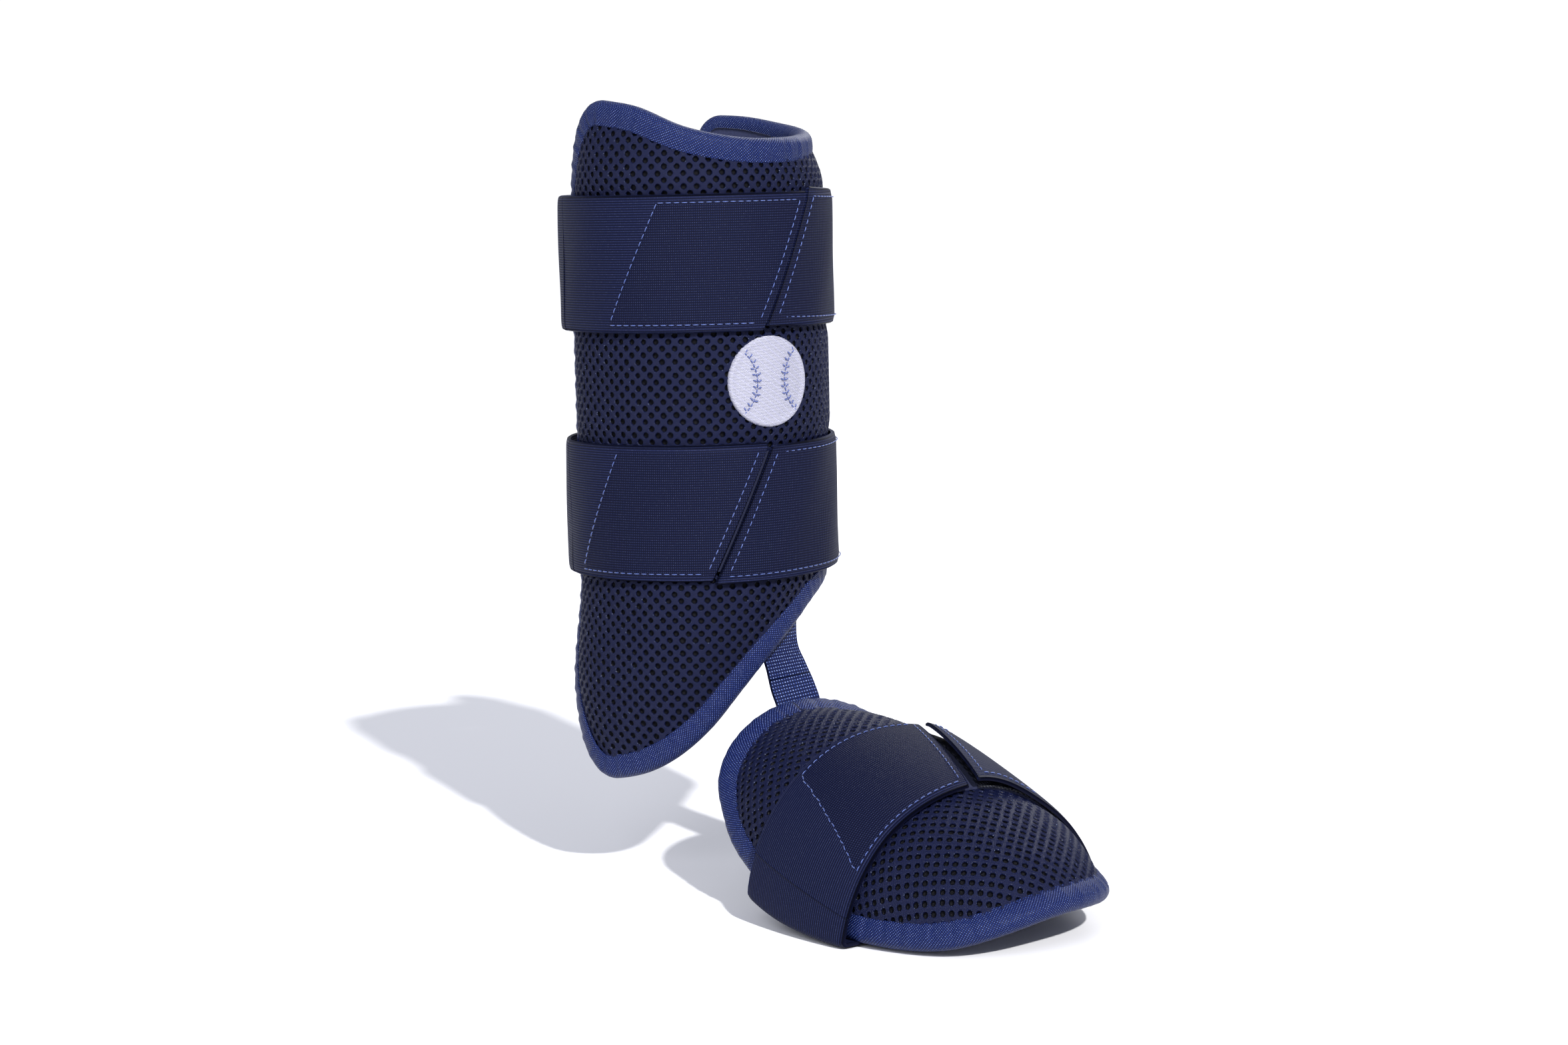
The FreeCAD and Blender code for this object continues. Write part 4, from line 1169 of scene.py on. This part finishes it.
def foot_strap_piece(name, marks, lift_of, patch=None):
    """Part of the foot strap between two marks on every section."""
    count = int(np.mean([abs(b - a) * LINE_STEP for a, b in marks]) / 0.9) + 2
    part = np.linspace(0, 1, count)
    outer = np.zeros((count, FOOT_ROWS, 3))
    inner = np.zeros((count, FOOT_ROWS, 3))
    cloth = np.zeros((count, FOOT_ROWS, 2))
    shade = np.zeros((count, FOOT_ROWS))
    rear_line, front_line = FOOT_LINES[0][0], FOOT_LINES[-1][0]
    for k, ((line, _), (a, b)) in enumerate(zip(FOOT_LINES, marks)):
        at = a + (b - a) * part
        index = np.arange(len(line) - 1)
        at_wrapped = at % (len(line) - 1)
        point = np.stack([np.interp(at_wrapped, np.arange(len(line)), line[:, j])
                          for j in range(3)], 1)
        ahead = np.roll(line[:-1], -4, 0) - np.roll(line[:-1], 4, 0)
        ahead /= np.linalg.norm(ahead, axis=1)[:, None]
        ahead = np.stack([np.interp(at_wrapped, index, ahead[:, j]) for j in range(3)], 1)
        width = (front_line[np.minimum(at_wrapped, len(front_line) - 1).astype(int)]
                 - rear_line[np.minimum(at_wrapped, len(rear_line) - 1).astype(int)])
        normal = np.cross(width, ahead)
        normal /= np.linalg.norm(normal, axis=1)[:, None]
        across = k / (FOOT_ROWS - 1)
        edge = min(across, 1 - across) * STRAP_WIDTH
        rise = lift_of(part, across) - 0.4 * math.exp(-edge / 1.1)
        rise = rise + 0.18 * np.sin(at / 17.0 + across * 3.0)
        outer[:, k] = point + normal * rise[:, None]
        inner[:, k] = point + normal * (rise - ELASTIC)[:, None]
        cloth[:, k, 0] = at * LINE_STEP
        cloth[:, k, 1] = across * STRAP_WIDTH
        if patch is not None:
            inside = smooth(-1.2, 1.2, (at - patch[k]) * np.sign(b - a))
            shade[:, k] = inside * smooth(1.6, 2.6, edge)
    obj = thick_sheet(name, outer, inner, LOOKS["elastic"], None, cloth)
    set_shade(obj, shade)
    return obj, outer


def foot_marks():
    """Where the hinges and the two slanted ends cross each section of the foot strap."""
    names = ("left_hinge", "left_end", "right_end", "right_hinge", "left_patch", "whole")
    marks = {name: [] for name in names}
    rear, front = FOOT_STRAP
    for line, y in FOOT_LINES:
        part = (rear - y) / (rear - front)
        height = foot_local(line)[:, 2]
        marks["left_hinge"].append(cross_at(height - FOOT_HINGE_HEIGHT))
        for name, (at_rear, at_front) in (("left_end", FOOT_SEAM), ("right_end", FOOT_RIGHT_END),
                                          ("left_patch", FOOT_PATCH)):
            seam = at_rear + (at_front - at_rear) * part
            beyond = np.where(height > FOOT_HINGE_HEIGHT, line[:, 0] - seam, -1.0)
            marks[name].append(cross_at(beyond))
        top = int(np.argmax(height))
        marks["right_hinge"].append(top + cross_at(FOOT_HINGE_HEIGHT - height[top:]))
        marks["whole"].append(len(line) - 1)
    return {name: np.array(value, float) for name, value in marks.items()}


def foot_strap():
    marks = foot_marks()
    reach = 8.0
    sole, _ = foot_strap_piece(
        "foot_elastic_sole",
        list(zip(marks["right_hinge"] + reach, marks["left_hinge"] + marks["whole"] - reach)),
        lambda part, across: np.zeros(len(part)))
    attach(sole, "foot")
    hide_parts("foot_strap_sole_band")

    left, left_top = foot_strap_piece(
        "foot_elastic_left", list(zip(marks["left_hinge"] - reach, marks["left_end"] - 1.0)),
        lambda part, across: 0.6 * part ** 6 + 0.25 * smooth(0.3, 0.5, part),
        marks["left_patch"])
    right, right_top = foot_strap_piece(
        "foot_elastic_right", list(zip(marks["right_hinge"] + reach, marks["right_end"] + 1.0)),
        lambda part, across: (2.2 + 0.8 * across) * smooth(0.35, 1.0, part) ** 1.5)
    for obj, side, sign in ((left, "left", -1), (right, "right", 1)):
        pivot = np.array(JOINTS["foot_%s_end_open" % side]["pos_m"]) / MM
        up = FOOT_TURN @ np.array([-0.25 * sign, 0.0, 1.0])
        up /= np.linalg.norm(up)
        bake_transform(obj)
        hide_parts("foot_strap_%s_end" % side)

    # Stitches follow the cloth itself: lines across and along its own grid.
    def surface_line(grid, picks):
        points = np.array([grid[int(i), int(j)] for i, j in picks])
        toward = np.array([12.0, -128.0, -175.0])
        outward = points - toward
        outward /= np.linalg.norm(outward, axis=1)[:, None]
        return points, outward

    rows, cols = left_top.shape[0], left_top.shape[1]
    share = [(marks["left_patch"][k] - marks["left_hinge"][k] + reach)
             / (marks["left_end"][k] - 1.0 - marks["left_hinge"][k] + reach)
             for k in range(cols)]
    lines = [surface_line(left_top, [(share[k] * (rows - 1), k) for k in range(2, cols - 2)]),
             surface_line(left_top, [(rows - 4, k) for k in range(2, cols - 2)]),
             surface_line(left_top, [(i, 2) for i in range(int(share[2] * rows), rows - 3)]),
             surface_line(left_top, [(i, cols - 3) for i in range(int(share[-3] * rows),
                                                                  rows - 3)])]
    sew("foot_left_stitches", lines, "foot_left_end")
    rows, cols = right_top.shape[0], right_top.shape[1]
    lines = [surface_line(right_top, [(rows - 4, k) for k in range(2, cols - 2)]),
             surface_line(right_top, [(i, 2) for i in range(rows // 2, rows - 3)]),
             surface_line(right_top, [(i, cols - 3) for i in range(rows // 2, rows - 3)])]
    sew("foot_right_stitches", lines, "foot_right_end")


# ---------------------------------------------------------------- webbing connector


def webbing():
    """Strip between the guards, in two pieces that meet halfway between its joints."""
    upper = np.array(JOINTS["connector_swing"]["pos_m"]) / MM
    lower = np.array(JOINTS["foot_swing"]["pos_m"]) / MM
    across = np.array(JOINTS["foot_swing"]["axis"])
    run = (lower - upper) / np.linalg.norm(lower - upper)
    turn = math.atan2(upper[0], -upper[1])
    out = np.array([math.sin(turn), -math.cos(turn), 0.0])
    tangent = np.array([math.cos(turn), math.sin(turn), 0.0])
    up = np.array([0, 0, 1.0])
    route = np.array([upper + out * 0.6 + up * 38, upper + out * 0.6 + up * 24,
                      upper + out * 0.3 + up * 11, upper, upper + run * 8, upper + run * 16,
                      lower, lower + np.array([0.2, 0.6, -6]), lower + np.array([0, 0.2, -12.5])])
    wide = np.array([tangent] * 3 + [0.7 * tangent + 0.3 * across, 0.4 * tangent + 0.6 * across]
                    + [across] * 4)
    knots = np.r_[0, np.cumsum(np.linalg.norm(np.diff(route, axis=0), axis=1))]
    at = np.arange(0, knots[-1], 0.8)
    line = np.stack([ease(np.stack([knots, route[:, k]], 1), at) for k in range(3)], 1)
    side = np.stack([ease(np.stack([knots, wide[:, k]], 1), at) for k in range(3)], 1)
    ahead = np.gradient(line, axis=0)
    ahead /= np.linalg.norm(ahead, axis=1)[:, None]
    side -= ahead * (side * ahead).sum(1)[:, None]
    side /= np.linalg.norm(side, axis=1)[:, None]
    face = np.cross(side, ahead)
    width = np.linspace(-WEBBING_HALF, WEBBING_HALF, 27)
    bow = 0.35 * (width / WEBBING_HALF) ** 2
    grid = line[:, None] + side[:, None] * width[None, :, None]
    sewn = smooth(16.0, 0.0, at)[:, None]
    wrap = (WEBBING_RADIUS - np.sqrt(WEBBING_RADIUS ** 2 - width[None] ** 2)) * sewn
    grid = grid + out * -wrap[..., None] + face[:, None] * bow[None, :, None] * 0.5
    half = 0.62 - 0.22 * np.exp(-(WEBBING_HALF - np.abs(width)) / 0.5)
    outer = grid + face[:, None] * half[None, :, None]
    inner = grid - face[:, None] * half[None, :, None]
    cloth = np.stack(np.broadcast_arrays(at[:, None], width[None]), -1)
    cut = int(np.argmin(np.linalg.norm(line - 0.5 * (upper + lower), axis=1)))
    parts = (("webbing_upper", slice(0, cut + 1), "shin", "connector", upper,
              ("connector_shin_tab",), -up),
             ("webbing_lower", slice(cut, None), "connector", "foot", lower,
              ("connector_webbing", "connector_foot_tab"), run))
    for name, rows, first, second, pivot, nodes, heading in parts:
        obj = thick_sheet(name, outer[rows], inner[rows], LOOKS["webbing"], None, cloth[rows])
        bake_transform(obj)
        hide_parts(*nodes)


# ---------------------------------------------------------------- carried-over CAD nodes


def dress(nodes, look):
    """Give carried-over CAD nodes a material."""
    for node in nodes:
        obj = frame["nodes"][node]
        obj.data.materials.clear()
        obj.data.materials.append(LOOKS[look])


# ---------------------------------------------------------------- stage

CAMERA_AZIMUTH, CAMERA_DISTANCE, CAMERA_HEIGHT = math.radians(-32.0), 1190.0, 86.0
AIM_RIGHT, AIM_HEIGHT, CAMERA_ROLL = 31.5, -54.0, math.radians(-1.3)
LENS, SENSOR = 70.99, 36.0
FLOOR_HALF = 30.0
SUN_TRAVEL, SUN_ELEVATION = (0.181, 0.984), math.radians(37.0)


def camera():
    back = Vector((math.sin(CAMERA_AZIMUTH), -math.cos(CAMERA_AZIMUTH), 0))
    right = Vector((math.cos(CAMERA_AZIMUTH), math.sin(CAMERA_AZIMUTH), 0))
    place = back * CAMERA_DISTANCE + Vector((0, 0, CAMERA_HEIGHT))
    aim = right * AIM_RIGHT + Vector((0, 0, AIM_HEIGHT))
    data = bpy.data.cameras.new("camera")
    data.lens, data.sensor_width = LENS, SENSOR
    data.clip_start, data.clip_end = 0.01, 100.0
    obj = bpy.data.objects.new("camera", data)
    bpy.context.scene.collection.objects.link(obj)
    look = (aim - place).to_track_quat("-Z", "Y").to_matrix()
    obj.matrix_world = (Matrix.Translation(place * MM)
                        @ (look @ Matrix.Rotation(CAMERA_ROLL, 3, "Z")).to_4x4())
    bpy.context.scene.camera = obj


def area(name, power, size, place, aim, colour=(1, 1, 1)):
    data = bpy.data.lights.new(name, "AREA")
    data.energy, data.shape, data.color = power, "DISK", colour
    data.size = size
    obj = bpy.data.objects.new(name, data)
    bpy.context.scene.collection.objects.link(obj)
    obj.location = place
    obj.rotation_euler = (Vector(aim) - Vector(place)).to_track_quat("-Z", "Y").to_euler()


def stage():
    """Pale floor, soft light from all round, a sun, and two weak area lights."""
    size = FLOOR_HALF
    mesh = bpy.data.meshes.new("floor")
    z = FLOOR * MM
    mesh.from_pydata([(-size, -size, z), (size, -size, z), (size, size, z), (-size, size, z)],
                     [], [[0, 1, 2, 3]])
    floor = bpy.data.objects.new("floor", mesh)
    bpy.context.scene.collection.objects.link(floor)
    look = Look("pale_floor", 0.9)
    look.shader.inputs["Base Color"].default_value = (0.86, 0.86, 0.885, 1)
    look.shader.inputs["Specular IOR Level"].default_value = 0.1
    mesh.materials.append(look.mat)
    world = bpy.data.worlds.new("studio")
    world.use_nodes = True
    tree = world.node_tree
    soft = tree.nodes["Background"]
    soft.inputs["Color"].default_value = (0.86, 0.89, 1.0, 1)
    soft.inputs["Strength"].default_value = 0.52
    plain = tree.nodes.new("ShaderNodeBackground")
    plain.inputs["Color"].default_value = (1, 1, 1, 1)
    plain.inputs["Strength"].default_value = 1.05
    path, choose = tree.nodes.new("ShaderNodeLightPath"), tree.nodes.new("ShaderNodeMixShader")
    tree.links.new(path.outputs["Is Camera Ray"], choose.inputs[0])
    tree.links.new(soft.outputs[0], choose.inputs[1])
    tree.links.new(plain.outputs[0], choose.inputs[2])
    tree.links.new(choose.outputs[0], tree.nodes["World Output"].inputs["Surface"])
    bpy.context.scene.world = world
    sun = bpy.data.lights.new("key", "SUN")
    sun.energy, sun.angle, sun.color = 4.2, math.radians(2.2), (1.0, 0.99, 0.97)
    obj = bpy.data.objects.new("key", sun)
    bpy.context.scene.collection.objects.link(obj)
    level = math.cos(SUN_ELEVATION)
    travel = Vector((SUN_TRAVEL[0] * level, SUN_TRAVEL[1] * level, -math.sin(SUN_ELEVATION)))
    obj.rotation_euler = travel.to_track_quat("-Z", "Y").to_euler()
    area("fill", 14.0, 1.2, (-1.4, -0.9, 0.9), (0, 0, -0.05), (0.93, 0.95, 1.0))
    area("rim", 10.0, 1.0, (1.3, 0.9, 0.9), (0, 0, -0.05))
    bpy.context.scene.view_settings.view_transform = "Standard"


shin_core()
shin_cover()
shin_tape()
for strap_name, strap_facts in STRAPS.items():
    leg_strap(strap_name, strap_facts)
emblem()
foot_core()
foot_cover()
foot_tape()
foot_strap()
webbing()
dress([n for n in frame["nodes"] if n.endswith("_hook")], "hook")
dress([n for n in frame["nodes"] if n.endswith("_loop_panel")], "loop")
dress(["shin_shell", "foot_shell"], "shell")
dress(["upper_strap_sewn_pads", "lower_strap_sewn_pads", "connector_backing"], "lining")
camera()
stage()
